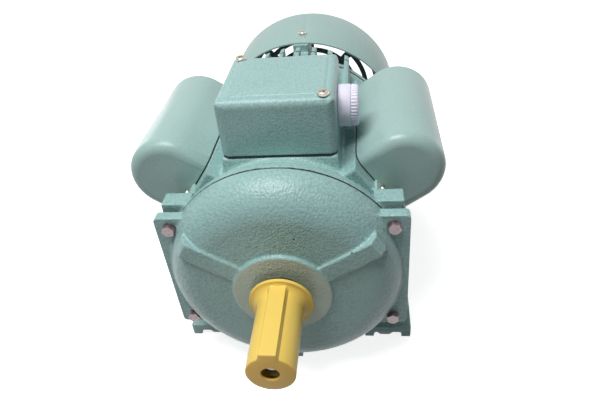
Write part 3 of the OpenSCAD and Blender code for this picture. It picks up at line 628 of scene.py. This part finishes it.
# Rotor: a turned steel shaft with its key and seal, a core of steel sheets and cast end rings.
# The core is pressed on the shaft, and the key is cold-drawn bar with broken edges in its keyway.

FEED_MARK = 0.35
KEY_BREAK = 0.35
EDGE_ANGLE = 35
EDGE_STEPS = 2
WELD_REACH = 0.002
BLOTCH_GRAINS = 30


def crisp(piece, width):
    """Breaks a piece's sharp edges by a bevel of `width` mm, as tumbling or a press leaves them."""
    join = piece.modifiers.new("join", "WELD")
    join.merge_threshold = WELD_REACH * MM
    edge = piece.modifiers.new("edge", "BEVEL")
    edge.limit_method = "ANGLE"
    edge.angle_limit = math.radians(EDGE_ANGLE)
    edge.width = width * MM
    edge.segments = EDGE_STEPS
    edge.harden_normals = True


# Turning leaves fine bright rings round the shaft. Real ones are finer, too fine to show.
turned_steel = layered(
    "turned_shaft_steel",
    light="#BDBEC2",
    dark="#A9ABAF",
    pitch=FEED_MARK,
    relief=0.004,
    metallic=1.0,
    roughness=0.26,
)
dress(nodes["shaft"], turned_steel)

# Drawn steel is grey and half bright, with duller clouds.
drawn_steel = metal("drawn_steel", light="#BDBEC2", dull="#85878C", roughness=0.3, grain=2.5)
dress(nodes["shaft_key"], drawn_steel)
crisp(nodes["shaft_key"], KEY_BREAK)
dress(nodes["rotor_core"], core_sheets)

# Cast aluminium is pale and matt, with a sandy skin.
cast_aluminium = metal(
    "cast_aluminium",
    light="#B8BABC",
    dull="#86888B",
    roughness=0.42,
    grain=1.5,
    relief=0.06,
)
dress(nodes["rotor_end_rings"], cast_aluminium)


def moulded(
    name, colour, shade, roughness, grain, relief, patches=(), polish=0.05, dulling=0.08, **sockets
):
    """Moulded plastic or rubber with a soft tone drift and a fine `grain` mm texture.

    `patches` are (mask, colour) pairs over it, and `sockets` are more sockets of its shader.
    """
    material, tree, place = new_finish(name)
    drift = add(
        tree,
        "ShaderNodeTexNoise",
        {"Vector": place, "Scale": METRE / (BLOTCH_GRAINS * grain), "Detail": 2.0},
    )
    mould_grain = add(
        tree,
        "ShaderNodeTexNoise",
        {"Vector": place, "Scale": METRE / grain, "Detail": 3.0},
    )
    tone = add(
        tree,
        "ShaderNodeMix",
        {SHARE: drift.outputs["Fac"], UNDER: linear(colour), OVER: linear(shade)},
        data_type="RGBA",
    )
    rough = add(
        tree,
        "ShaderNodeMapRange",
        {
            "Value": drift.outputs["Fac"],
            "To Min": roughness - polish,
            "To Max": roughness + dulling,
        },
    )
    bump = add(
        tree,
        "ShaderNodeBump",
        {"Height": mould_grain.outputs["Fac"], "Distance": relief * MM},
    )
    given = {
        "Base Color": patched(tree, place, tone.outputs[MIXED], patches),
        "Roughness": rough.outputs[0],
        "Normal": bump.outputs[0],
    }
    given.update({socket.replace("_", " "): value for socket, value in sockets.items()})
    close_finish(tree, given)
    return material


# Nitrile rubber is near black and matt.
rubber = moulded(
    "nitrile_rubber",
    colour="#1B1C1D",
    shade="#111213",
    roughness=0.55,
    grain=0.8,
    relief=0.05,
)
dress(nodes["shaft_seal"], rubber)

# Governor and starting switch: a pressed steel carrier, pins and weights, and a bakelite collar.
# The collar slides on the shaft and works the copper arm of a switch in the rear shield.

for piece in ("governor_carrier", "governor_pins", "left_governor_weight", "right_governor_weight"):
    dress(nodes[piece], drawn_steel)

# Bakelite is dark brown, with the low gloss of its mould.
bakelite = moulded(
    "brown_bakelite",
    colour="#4A2C1C",
    shade="#341D12",
    roughness=0.32,
    grain=1.2,
    relief=0.02,
)
for piece in ("governor_collar", "switch_board"):
    dress(nodes[piece], bakelite)

# Rolled copper is warm and bright, with browner clouds.
rolled_copper = metal("rolled_copper", light="#C98A5A", dull="#9A5C36", roughness=0.3, grain=3.0)
dress(nodes["switch_arm"], rolled_copper)

# Cooling fan: a black moulded nylon wheel with straight blades, pressed on the shaft's tail.
# A spring-steel clip in a groove of the shaft keeps it there.

FAN_BREAK = 0.5

# Black nylon has a soft sheen over a fine mould grain.
black_nylon = moulded(
    "black_nylon",
    colour="#26282A",
    shade="#191B1C",
    roughness=0.42,
    grain=0.9,
    relief=0.03,
    IOR=1.53,
)
dress(nodes["cooling_fan"], black_nylon)
crisp(nodes["cooling_fan"], FAN_BREAK)
dress(nodes["fan_clip"], drawn_steel)

# Fan cowl: a cup drawn from 1.2 mm steel sheet, with slots punched in its end.
# It is pushed over the rear shield's bars, and three screws hold it.

COWL_BREAK = 0.35

# On smooth sheet the same green enamel looks paler, with only a fine peel.
sheet_enamel = enamel(
    "sprayed_enamel_on_sheet",
    colour="#A6C4BF",
    hollow="#94B3AD",
    cell=1.4,
    relief=0.05,
    roughness=0.24,
)
dress(nodes["fan_cowl"], sheet_enamel)
crisp(nodes["fan_cowl"], COWL_BREAK)

# Cowl screws: pan heads with a cross recess, in pale yellow zinc, as on the box and the covers.
# The head is forged with a round edge and a flat crown, which the driver's cross is punched into.
# The shares are of the shank's radius for its point, and of the head's radius and height.

COWL_SCREW_Y = 150.0
COWL_SCREW_RADIUS = 88.0
COWL_SCREW_ANGLES = (-90, 0, 90)
COWL_SCREW_TURN = 20
COWL_SCREW_LENGTH = 10.0
SCREW_RADIUS = 2.5
POINT_WIDTH_SHARE = 0.6
POINT_LENGTH_SHARE = 0.4
PAN_RADIUS = 4.0
PAN_HEIGHT = 2.4
PAN_LIP = 0.15
PAN_LIP_HEIGHT = 0.2
PAN_CROWN_SHARE = 0.7
PAN_WALL_SHARE = 0.45
PAN_STEPS = 5
PAN_SMOOTH_ANGLE = 40
CROSS_ARM_SHARE = 0.62
CROSS_HALF_SHARE = 0.13
CROSS_TAPER = 0.6
CROSS_FLOOR_SHARE = 0.3


def pan_screw(bm, place, shank_radius, shank_length, radius):
    """A pan screw along +Z with its head's bearing face on the origin."""
    start = len(bm.verts)
    crown = PAN_CROWN_SHARE * radius
    wall = PAN_WALL_SHARE * PAN_HEIGHT
    outlines = [
        circle(POINT_WIDTH_SHARE * shank_radius, -shank_length),
        circle(shank_radius, POINT_LENGTH_SHARE * shank_radius - shank_length),
        circle(shank_radius, 0.0),
        circle(radius - PAN_LIP, 0.0),
        circle(radius, PAN_LIP_HEIGHT),
    ]
    for step in range(PAN_STEPS + 1):
        bend = math.pi / 2 * step / PAN_STEPS
        out = crown + (radius - crown) * math.cos(bend)
        outlines.append(circle(out, wall + (PAN_HEIGHT - wall) * math.sin(bend)))
    rings = [ring_of(bm, ROUND_STEPS, outline) for outline in outlines]
    skin(bm, rings)
    bm.faces.new(rings[0][::-1])

    arm = CROSS_ARM_SHARE * radius
    half = CROSS_HALF_SHARE * radius
    quarter = [(arm, -half), (arm, half), (half, half)]
    cross = []
    for _ in range(4):
        cross += quarter
        quarter = [(-y, x) for x, y in quarter]
    bottom = CROSS_FLOOR_SHARE * PAN_HEIGHT
    lip = [bm.verts.new(Vector((x, y, PAN_HEIGHT)) * MM) for x, y in cross]
    floor = [
        bm.verts.new(Vector((CROSS_TAPER * x, CROSS_TAPER * y, bottom)) * MM) for x, y in cross
    ]
    skin(bm, [lip, floor])
    bm.faces.new(floor)
    rims = [
        bm.edges.get(pair) for ring in (rings[-1], lip) for pair in zip(ring, ring[1:] + ring[:1])
    ]
    bmesh.ops.triangle_fill(bm, use_beauty=True, use_dissolve=False, edges=rims)
    set_in_place(bm, start, place)


# Yellow-passivated zinc is bright, with a faint straw tint.
passivated_zinc = metal(
    "yellow_passivated_zinc",
    light="#E2DDD0",
    dull="#ADA695",
    roughness=0.24,
    grain=1.2,
)


def screws(name, node, places, shank_radius, shank_length, radius):
    """All the pan screws of one node as one piece."""
    bm = bmesh.new()
    for place in places:
        pan_screw(bm, place, shank_radius, shank_length, radius)
    piece = closed_piece(name, bm, PAN_SMOOTH_ANGLE)
    dress(piece, passivated_zinc)
    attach(piece, "stator")
    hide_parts(node)


screws(
    "cowl_pan_screws",
    "cowl_screws",
    [
        move(0, COWL_SCREW_Y, AXIS_HEIGHT)
        @ rotate(angle, "Y")
        @ move(0, 0, COWL_SCREW_RADIUS)
        @ rotate(COWL_SCREW_TURN + angle, "Z")
        for angle in COWL_SCREW_ANGLES
    ],
    SCREW_RADIUS,
    COWL_SCREW_LENGTH,
    PAN_RADIUS,
)

# Terminal box: a deep cast cover on a black gasket, held to the saddle by two long screws.
# Its top has a raised panel, and its thinner coat of hammer-finish enamel has smaller cells.

COVER_GRID = 0.6
COVER_SOFTENING = 2
COVER_KEPT = 0.5
COVER_TOP = 207.3
COVER_SCREWS = (((31.6, -41.8), 25), ((-31.6, 20.4), 70))
COVER_SCREW_LENGTH = 49.5

dress(nodes["terminal_gasket"], rubber)
box_cover = casting("terminal_cover", "terminal_box_cover", COVER_GRID, COVER_SOFTENING, COVER_KEPT)

# The smaller, shallower cells give the box a finer glitter than the frame has.
cover_enamel = enamel(
    "hammer_enamel_on_cover",
    CASTING_GREEN,
    CASTING_HOLLOW,
    cell=1.28,
    relief=0.17,
    roughness=0.27,
)
dress(box_cover, cover_enamel)
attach(box_cover, "stator")
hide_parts("terminal_cover")
screws(
    "terminal_cover_pan_screws",
    "terminal_cover_screws",
    [move(x, y, COVER_TOP) @ rotate(turn, "Z") for (x, y), turn in COVER_SCREWS],
    SCREW_RADIUS,
    COVER_SCREW_LENGTH,
    PAN_RADIUS,
)

# Terminal board: a bakelite block on the saddle's floor, with brass studs and nuts.
# The leads of the winding and the supply meet on the studs.

dress(nodes["terminal_board"], bakelite)

# Turned brass is a warm yellow with a half-bright gloss.
turned_brass = metal("turned_brass", light="#C9A55A", dull="#9C7B38", roughness=0.28, grain=2.0)
dress(nodes["terminal_studs"], turned_brass)

# Cable gland: white nylon, moulded and threaded, with a ribbed cap that squeezes a rubber seal.
# It screws through the box's right wall into a locknut.
# The fronts are points of a round edge: in from the side, and back from the front.

GLAND_CENTRE = (39.0, -12.7, 184.3)
GLAND_RADIUS = 14.4
GLAND_LENGTH = 9.0
GLAND_TAIL = 11.0
GLAND_THREAD = 10.0
GLAND_BORE = 6.3
GLAND_EDGE = 0.5
GLAND_STEPS = 96
THREAD_PITCH = 1.5
THREAD_DEPTH = 0.7
THREAD_RUNOUT = 0.2
SEAL_RADIUS = 9.0
CAP_RADIUS = 13.6
CAP_LENGTH = 5.0
CAP_WALL = 1.9
CAP_FRONT = ((0.0, 1.4), (0.1, 0.8), (0.5, 0.25), (1.1, 0.0))
CAP_RIBS = 40
RIB_START = 0.5
RIB_HEIGHT = 0.5
RIB_STEPS = 8
RIBBED_RINGS = (2, 3)
MOUTH_WIDTH = 1.0
MOUTH_DEPTH = 0.6
SEAT_GAP = 0.02
NECK_PLAY = 0.1
NECK_ROOM = 0.2
GLAND_FRONT = ((0.0, 0.9), (0.3, 0.3), (1.0, SEAT_GAP))

# White nylon lets a little light in, which softens its shadows to a cool white.
nylon = moulded(
    "white_nylon",
    colour="#EEEBFA",
    shade="#E0DCF0",
    roughness=0.42,
    grain=0.9,
    relief=0.02,
    Subsurface_Weight=0.12,
    Subsurface_Scale=0.004,
)
gland_place = Matrix.Translation(Vector(GLAND_CENTRE) * MM) @ rotate(90, "Y")


def turned_piece(name, profile, count, place, swell):
    """A closed profile of (radius, height) in mm, turned about +Z and set in place.

    `swell` is how far a ring stands out at an angle, by the ring's number in the profile.
    """
    bm = bmesh.new()
    rings = []
    for number, (radius, height) in enumerate(profile):

        def swollen(angle):
            return circle(radius + swell(angle, number), height)(angle)

        rings.append(ring_of(bm, count, swollen))
    skin(bm, rings + rings[:1])
    bmesh.ops.transform(bm, matrix=place, verts=bm.verts[:])
    return closed_piece(name, bm)


def thread(start, end, crest):
    """The side view of a screw thread between two heights, as (radius, height) points."""
    turns = int((end - start) / THREAD_PITCH)
    root = crest - THREAD_DEPTH
    points = []
    for i in range(turns):
        points += [(root, start + i * THREAD_PITCH), (crest, start + (i + 0.5) * THREAD_PITCH)]
    return points + [(root, start + turns * THREAD_PITCH)]


def plain(angle, ring):
    """The swell of a plain round piece: none."""
    return 0.0


def rib(angle, ring):
    """How far a ring of the cap stands out for its ribs."""
    return RIB_HEIGHT * math.sqrt(max(0.0, math.cos(CAP_RIBS * angle))) if ring in RIBBED_RINGS else 0.0


cap_end = GLAND_LENGTH + CAP_LENGTH
cap_bore = CAP_RADIUS - CAP_WALL
neck = cap_bore - NECK_PLAY
neck_end = cap_end - CAP_WALL - NECK_ROOM
seal_seat = GLAND_LENGTH - CAP_LENGTH
gland_profile = (
    [(GLAND_BORE, -GLAND_TAIL)]
    + thread(-GLAND_TAIL, -THREAD_RUNOUT, GLAND_THREAD)
    + [(GLAND_RADIUS - GLAND_EDGE, 0.0), (GLAND_RADIUS, GLAND_EDGE)]
    + [(GLAND_RADIUS - inward, GLAND_LENGTH - back) for inward, back in GLAND_FRONT]
    + [(neck, GLAND_LENGTH - SEAT_GAP), (neck, neck_end)]
    + [(SEAL_RADIUS, neck_end), (SEAL_RADIUS, seal_seat), (GLAND_BORE, seal_seat)]
)
cap_profile = (
    [(cap_bore, GLAND_LENGTH + SEAT_GAP), (CAP_RADIUS, GLAND_LENGTH + SEAT_GAP)]
    + [(CAP_RADIUS, GLAND_LENGTH + RIB_START)]
    + [(CAP_RADIUS - inward, cap_end - back) for inward, back in CAP_FRONT]
    + [(GLAND_BORE + MOUTH_WIDTH, cap_end), (GLAND_BORE, cap_end - MOUTH_DEPTH)]
    + [(GLAND_BORE, cap_end - CAP_WALL), (cap_bore, cap_end - CAP_WALL)]
)
gland_body = turned_piece("cable_gland_body", gland_profile, GLAND_STEPS, gland_place, plain)
gland_cap = turned_piece("cable_gland_cap", cap_profile, RIB_STEPS * CAP_RIBS, gland_place, rib)
for piece, node in ((gland_body, "gland_body"), (gland_cap, "gland_cap")):
    dress(piece, nylon)
    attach(piece, "stator")
    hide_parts(node)
dress(nodes["gland_locknut"], nylon)
dress(nodes["gland_seal"], rubber)

# Capacitors: two cans under deep-drawn steel covers on the frame's sloping pads.
# Each cover has a round back, soft ends and a tab at either end, screwed down on a black gasket.
# Each tab is at an end along Y, and its screw came to rest at some turn in degrees.

PAD_TILT = 35.5
PAD_HEIGHT = 82.5
COVER_MID_Y = 14.0
COVER_LENGTH = 117.6
COVER_SHEET = 1.2
COVER_BREAK = 0.4
TAB_LENGTH = 10.0
TABS = ((-1, 5), (1, 55))
TAB_SCREW_RADIUS = 2.0
TAB_HEAD_RADIUS = 3.6
TAB_SCREW_LENGTH = 7.0

dress(nodes["capacitor_gaskets"], rubber)

# A drawn can is pale and softly cloudy.
can_metal = metal("drawn_aluminium_can", light="#C4C6C8", dull="#9EA0A3", roughness=0.3, grain=4.0)
# The straps share the zinc with its painted reflection.
dress(nodes["capacitor_straps"], zinc_with_painted_reflection)
tab_places = []
for side, out in (("left", -1), ("right", 1)):
    dress(nodes[f"{side}_capacitor"], can_metal)
    dress(nodes[f"{side}_capacitor_cover"], sheet_enamel)
    crisp(nodes[f"{side}_capacitor_cover"], COVER_BREAK)
    slope = rotate(out * (90 - PAD_TILT), "Y") @ move(0, 0, PAD_HEIGHT + COVER_SHEET)
    for end, turn in TABS:
        along = COVER_MID_Y + end * (COVER_LENGTH + TAB_LENGTH) / 2
        tab_places.append(move(0, along, AXIS_HEIGHT) @ slope @ rotate(turn, "Z"))
screws(
    "capacitor_cover_pan_screws",
    "capacitor_cover_screws",
    tab_places,
    TAB_SCREW_RADIUS,
    TAB_SCREW_LENGTH,
    TAB_HEAD_RADIUS,
)

# Shaft protector: a yellow polyethylene sleeve, injection moulded with a flange and a flat-topped
# ridge over the key. It is pushed on over the shaft for transport, and pulls off by hand.

SLEEVE_BACK = -106.0
SLEEVE_END = -162.5
SLEEVE_RADIUS = 15.3
SLEEVE_DRAFT = 0.25
SLEEVE_ROUND = 0.8
SLEEVE_BREAK = 0.35
SLEEVE_SMOOTH_ANGLE = 32
RIDGE_TOP = 18.0
RIDGE_HALF = 5.2
RIDGE_FOOT = 6.4
FLANGE_RADIUS = 21.5
FLANGE_THICK = 2.6
FLANGE_EDGE = 0.4
FLARE_RADIUS = 20.7
FLARE_LENGTH = 6.5
SHAFT_BORE = 12.3
KEY_ROOM = 15.3
END_HOLE = 5.6
HOLE_EDGE = 0.3
END_WALL = 1.5
RIDGE_STEPS = 4
BODY_STEPS = 72
FLARE_STEPS = 8
END_STEPS = 3
ANGLE_SLACK = 1e-6
# A deeper, oranger yellow of painted shade for the sleeve's end wall.
END_PAINTED_SHADE = "#FFD06A"

ridge_corner = math.atan2(RIDGE_HALF, RIDGE_TOP)
ridge_foot = math.asin(RIDGE_FOOT / SLEEVE_RADIUS)
round_part = 2 * math.pi - 2 * ridge_foot
sleeve_angles = [ridge_corner * (i / RIDGE_STEPS - 1) for i in range(2 * RIDGE_STEPS + 1)] + [
    ridge_foot + round_part * i / BODY_STEPS for i in range(BODY_STEPS + 1)
]


def ridged(angle, ridge, round_radius):
    """A radius at an angle from the top: a flat `ridge` high at the top, and round elsewhere."""
    turn = min(angle % (2 * math.pi), -angle % (2 * math.pi))
    return ridge / math.cos(turn) if turn <= ridge_corner + ANGLE_SLACK else round_radius


def sleeve_outside(inset):
    """The sleeve's outline with the ridge at the top, drawn in by `inset`."""
    return lambda angle: ridged(angle, RIDGE_TOP - inset, SLEEVE_RADIUS - inset)


def sleeve_inside(angle):
    """The sleeve's bore, with room for the key at the top."""
    return ridged(angle, KEY_ROOM, SHAFT_BORE)


def sleeve_flare(radius):
    """The flare round the sleeve, where it stands out of the outline."""
    return lambda angle: max(radius, sleeve_outside(0.0)(angle))


def evenly(radius):
    """The same radius all round."""
    return lambda angle: radius


def sleeve_ring(bm, along, outline):
    """One ring of the sleeve at a station along the shaft."""
    ring = []
    for angle in sleeve_angles:
        radius = outline(angle)
        point = (radius * math.sin(angle), along, AXIS_HEIGHT + radius * math.cos(angle))
        ring.append(bm.verts.new(Vector(point) * MM))
    return ring


flange_front = SLEEVE_BACK - FLANGE_THICK
stations = [
    (SLEEVE_BACK, sleeve_inside),
    (SLEEVE_BACK, evenly(FLANGE_RADIUS - FLANGE_EDGE)),
    (SLEEVE_BACK - FLANGE_EDGE, evenly(FLANGE_RADIUS)),
    (flange_front + FLANGE_EDGE, evenly(FLANGE_RADIUS)),
    (flange_front, evenly(FLANGE_RADIUS - FLANGE_EDGE)),
]
for step in range(FLARE_STEPS + 1):
    bend = math.pi / 2 * step / FLARE_STEPS
    along = flange_front - FLARE_LENGTH * (1 - math.cos(bend))
    spread = SLEEVE_RADIUS + (FLARE_RADIUS - SLEEVE_RADIUS) * (1 - math.sin(bend))
    stations.append((along, sleeve_flare(spread)))
for step in range(END_STEPS + 1):
    bend = math.pi / 2 * step / END_STEPS
    along = SLEEVE_END + SLEEVE_ROUND * (1 - math.sin(bend))
    inset = SLEEVE_DRAFT + SLEEVE_ROUND * (1 - math.cos(bend))
    stations.append((along, sleeve_outside(inset)))
stations += [
    (SLEEVE_END, evenly(END_HOLE + HOLE_EDGE)),
    (SLEEVE_END + HOLE_EDGE, evenly(END_HOLE)),
    (SLEEVE_END + END_WALL, evenly(END_HOLE)),
    (SLEEVE_END + END_WALL, sleeve_inside),
]
sleeve_bm = bmesh.new()
sleeve_rings = [sleeve_ring(sleeve_bm, along, outline) for along, outline in stations]
skin(sleeve_bm, sleeve_rings + sleeve_rings[:1])
sleeve = closed_piece("yellow_shaft_sleeve", sleeve_bm, SLEEVE_SMOOTH_ANGLE)


def painted_end_shade(tree, place):
    """1 on the sleeve's end wall, 0 from a little behind it: where the end's painted shade goes."""
    along = add(tree, "ShaderNodeSeparateXYZ", {0: place}).outputs["Y"]
    return add(
        tree,
        "ShaderNodeMapRange",
        {
            "Value": along,
            "From Min": SLEEVE_END * MM,
            "From Max": (SLEEVE_END + SLEEVE_ROUND) * MM,
            "To Min": 1.0,
            "To Max": 0.0,
        },
    ).outputs[0]


# Polyethylene is waxy and lets a little light in. Its end wall is painted a deeper, oranger yellow:
# painted shade, for the warm shade the end takes.
polyethylene = moulded(
    "yellow_polyethylene",
    colour="#F9DA72",
    shade="#F2CE62",
    roughness=0.38,
    grain=1.0,
    relief=0.02,
    patches=[(painted_end_shade, END_PAINTED_SHADE)],
    Subsurface_Weight=0.1,
    Subsurface_Scale=0.002,
    Specular_IOR_Level=0.25,
)
dress(sleeve, polyethylene)
crisp(sleeve, SLEEVE_BREAK)
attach(sleeve, "protector")
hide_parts("shaft_protector")

# Studio: a white sweep that keeps the soft shadow, a large soft light overhead, a small low fill in
# front and two low fills behind. The camera stands a little above and in front of the motor and
# looks down along it. Sizes here are in metres, and the lamps' powers in watts.

FLOOR_HALF = 6.0
FLOOR_WHITE = "#F4F4F4"
FLOOR_BOUNCE = "#424242"
FLOOR_GLOW = 0.8
SKY_WHITE = "#FFFFFF"
SKY_LIGHT = 0.13
SKY_SHOWN = 0.93
LAMPS = (
    ("overhead_softbox", (-0.18, -0.22, 1.1), (0.0, 0.0, 0.1), 0.5, 10.0),
    ("low_front_fill", (-0.09, -0.32, 0.03), (0.0, -0.12, 0.09), 0.14, 0.065),
    ("right_rear_fill", (0.85, 0.45, 0.12), (0.0, 0.05, 0.08), 0.5, 1.2),
    ("left_rear_fill", (-0.8, 0.7, 0.12), (0.0, 0.1, 0.08), 0.5, 1.2),
)
CAMERA_PLACE = (0.05715, -0.34644, 0.35394)
CAMERA_YAW = -8.83
CAMERA_PITCH = 36.53
CAMERA_ROLL = -6.33
CAMERA_LENS = 32.147
CAMERA_SENSOR = 36.0
CAMERA_NEAR = 0.01


def seen_directly(tree):
    """1 for rays that show the background: from the camera, or by reflection or through glass."""
    path = add(tree, "ShaderNodeLightPath")
    either = add(
        tree,
        "ShaderNodeMath",
        {0: path.outputs["Is Camera Ray"], 1: path.outputs["Is Glossy Ray"]},
        operation="MAXIMUM",
    )
    return add(
        tree,
        "ShaderNodeMath",
        {0: either.outputs[0], 1: path.outputs["Is Transmission Ray"]},
        operation="MAXIMUM",
    ).outputs[0]


floor_bm = bmesh.new()
for x, y in ((-1, -1), (1, -1), (1, 1), (-1, 1)):
    floor_bm.verts.new((x * FLOOR_HALF, y * FLOOR_HALF, 0.0))
floor_bm.faces.new(floor_bm.verts[:])
floor_mesh = bpy.data.meshes.new("studio_floor")
floor_bm.to_mesh(floor_mesh)
floor_bm.free()
floor = new_piece("studio_floor", floor_mesh)

# Matt paper shows white with the shadow on it, and sends less light up at the motor.
paper = bpy.data.materials.new("white_paper")
paper.use_nodes = True
sheet = paper.node_tree
sheet.nodes.clear()
shown = seen_directly(sheet)
bounce = add(sheet, "ShaderNodeBsdfDiffuse", {"Color": linear(FLOOR_BOUNCE)})
white = add(sheet, "ShaderNodeBsdfDiffuse", {"Color": linear(FLOOR_WHITE)})
glow = add(sheet, "ShaderNodeEmission", {"Strength": FLOOR_GLOW})
lit = add(sheet, "ShaderNodeAddShader", {0: white.outputs[0], 1: glow.outputs[0]})
mixed = add(sheet, "ShaderNodeMixShader", {0: shown, 1: bounce.outputs[0], 2: lit.outputs[0]})
add(sheet, "ShaderNodeOutputMaterial", {"Surface": mixed.outputs[0]})
dress(floor, paper)

world = bpy.data.worlds.new("studio")
bpy.context.scene.world = world
world.use_nodes = True
air = world.node_tree
air.nodes.clear()
behind = seen_directly(air)
level = add(
    air,
    "ShaderNodeMapRange",
    {"Value": behind, "To Min": SKY_LIGHT, "To Max": SKY_SHOWN},
)
sky = add(
    air,
    "ShaderNodeBackground",
    {"Color": linear(SKY_WHITE), "Strength": level.outputs[0]},
)
add(air, "ShaderNodeOutputWorld", {"Surface": sky.outputs[0]})

for name, place, aim, size, power in LAMPS:
    lamp = bpy.data.lights.new(name, "AREA")
    lamp.shape = "SQUARE"
    lamp.size = size
    lamp.energy = power
    holder = bpy.data.objects.new(name, lamp)
    bpy.context.scene.collection.objects.link(holder)
    holder.location = place
    holder.rotation_euler = (Vector(aim) - Vector(place)).to_track_quat("-Z", "Y").to_euler()

yaw, pitch, roll = (math.radians(a) for a in (CAMERA_YAW, CAMERA_PITCH, CAMERA_ROLL))
ahead = Vector((math.sin(yaw) * math.cos(pitch), math.cos(yaw) * math.cos(pitch), -math.sin(pitch)))
right = ahead.cross(Vector((0, 0, 1))).normalized()
up = right.cross(ahead)
tilted_right = math.cos(roll) * right + math.sin(roll) * up
tilted_up = -math.sin(roll) * right + math.cos(roll) * up
lens = bpy.data.cameras.new("camera")
lens.sensor_width = CAMERA_SENSOR
lens.lens = CAMERA_LENS
lens.clip_start = CAMERA_NEAR
camera = bpy.data.objects.new("camera", lens)
bpy.context.scene.collection.objects.link(camera)
aimed = Matrix((tilted_right, tilted_up, -ahead)).transposed().to_4x4()
camera.matrix_world = Matrix.Translation(CAMERA_PLACE) @ aimed
bpy.context.scene.camera = camera
bpy.context.scene.view_settings.view_transform = "Standard"
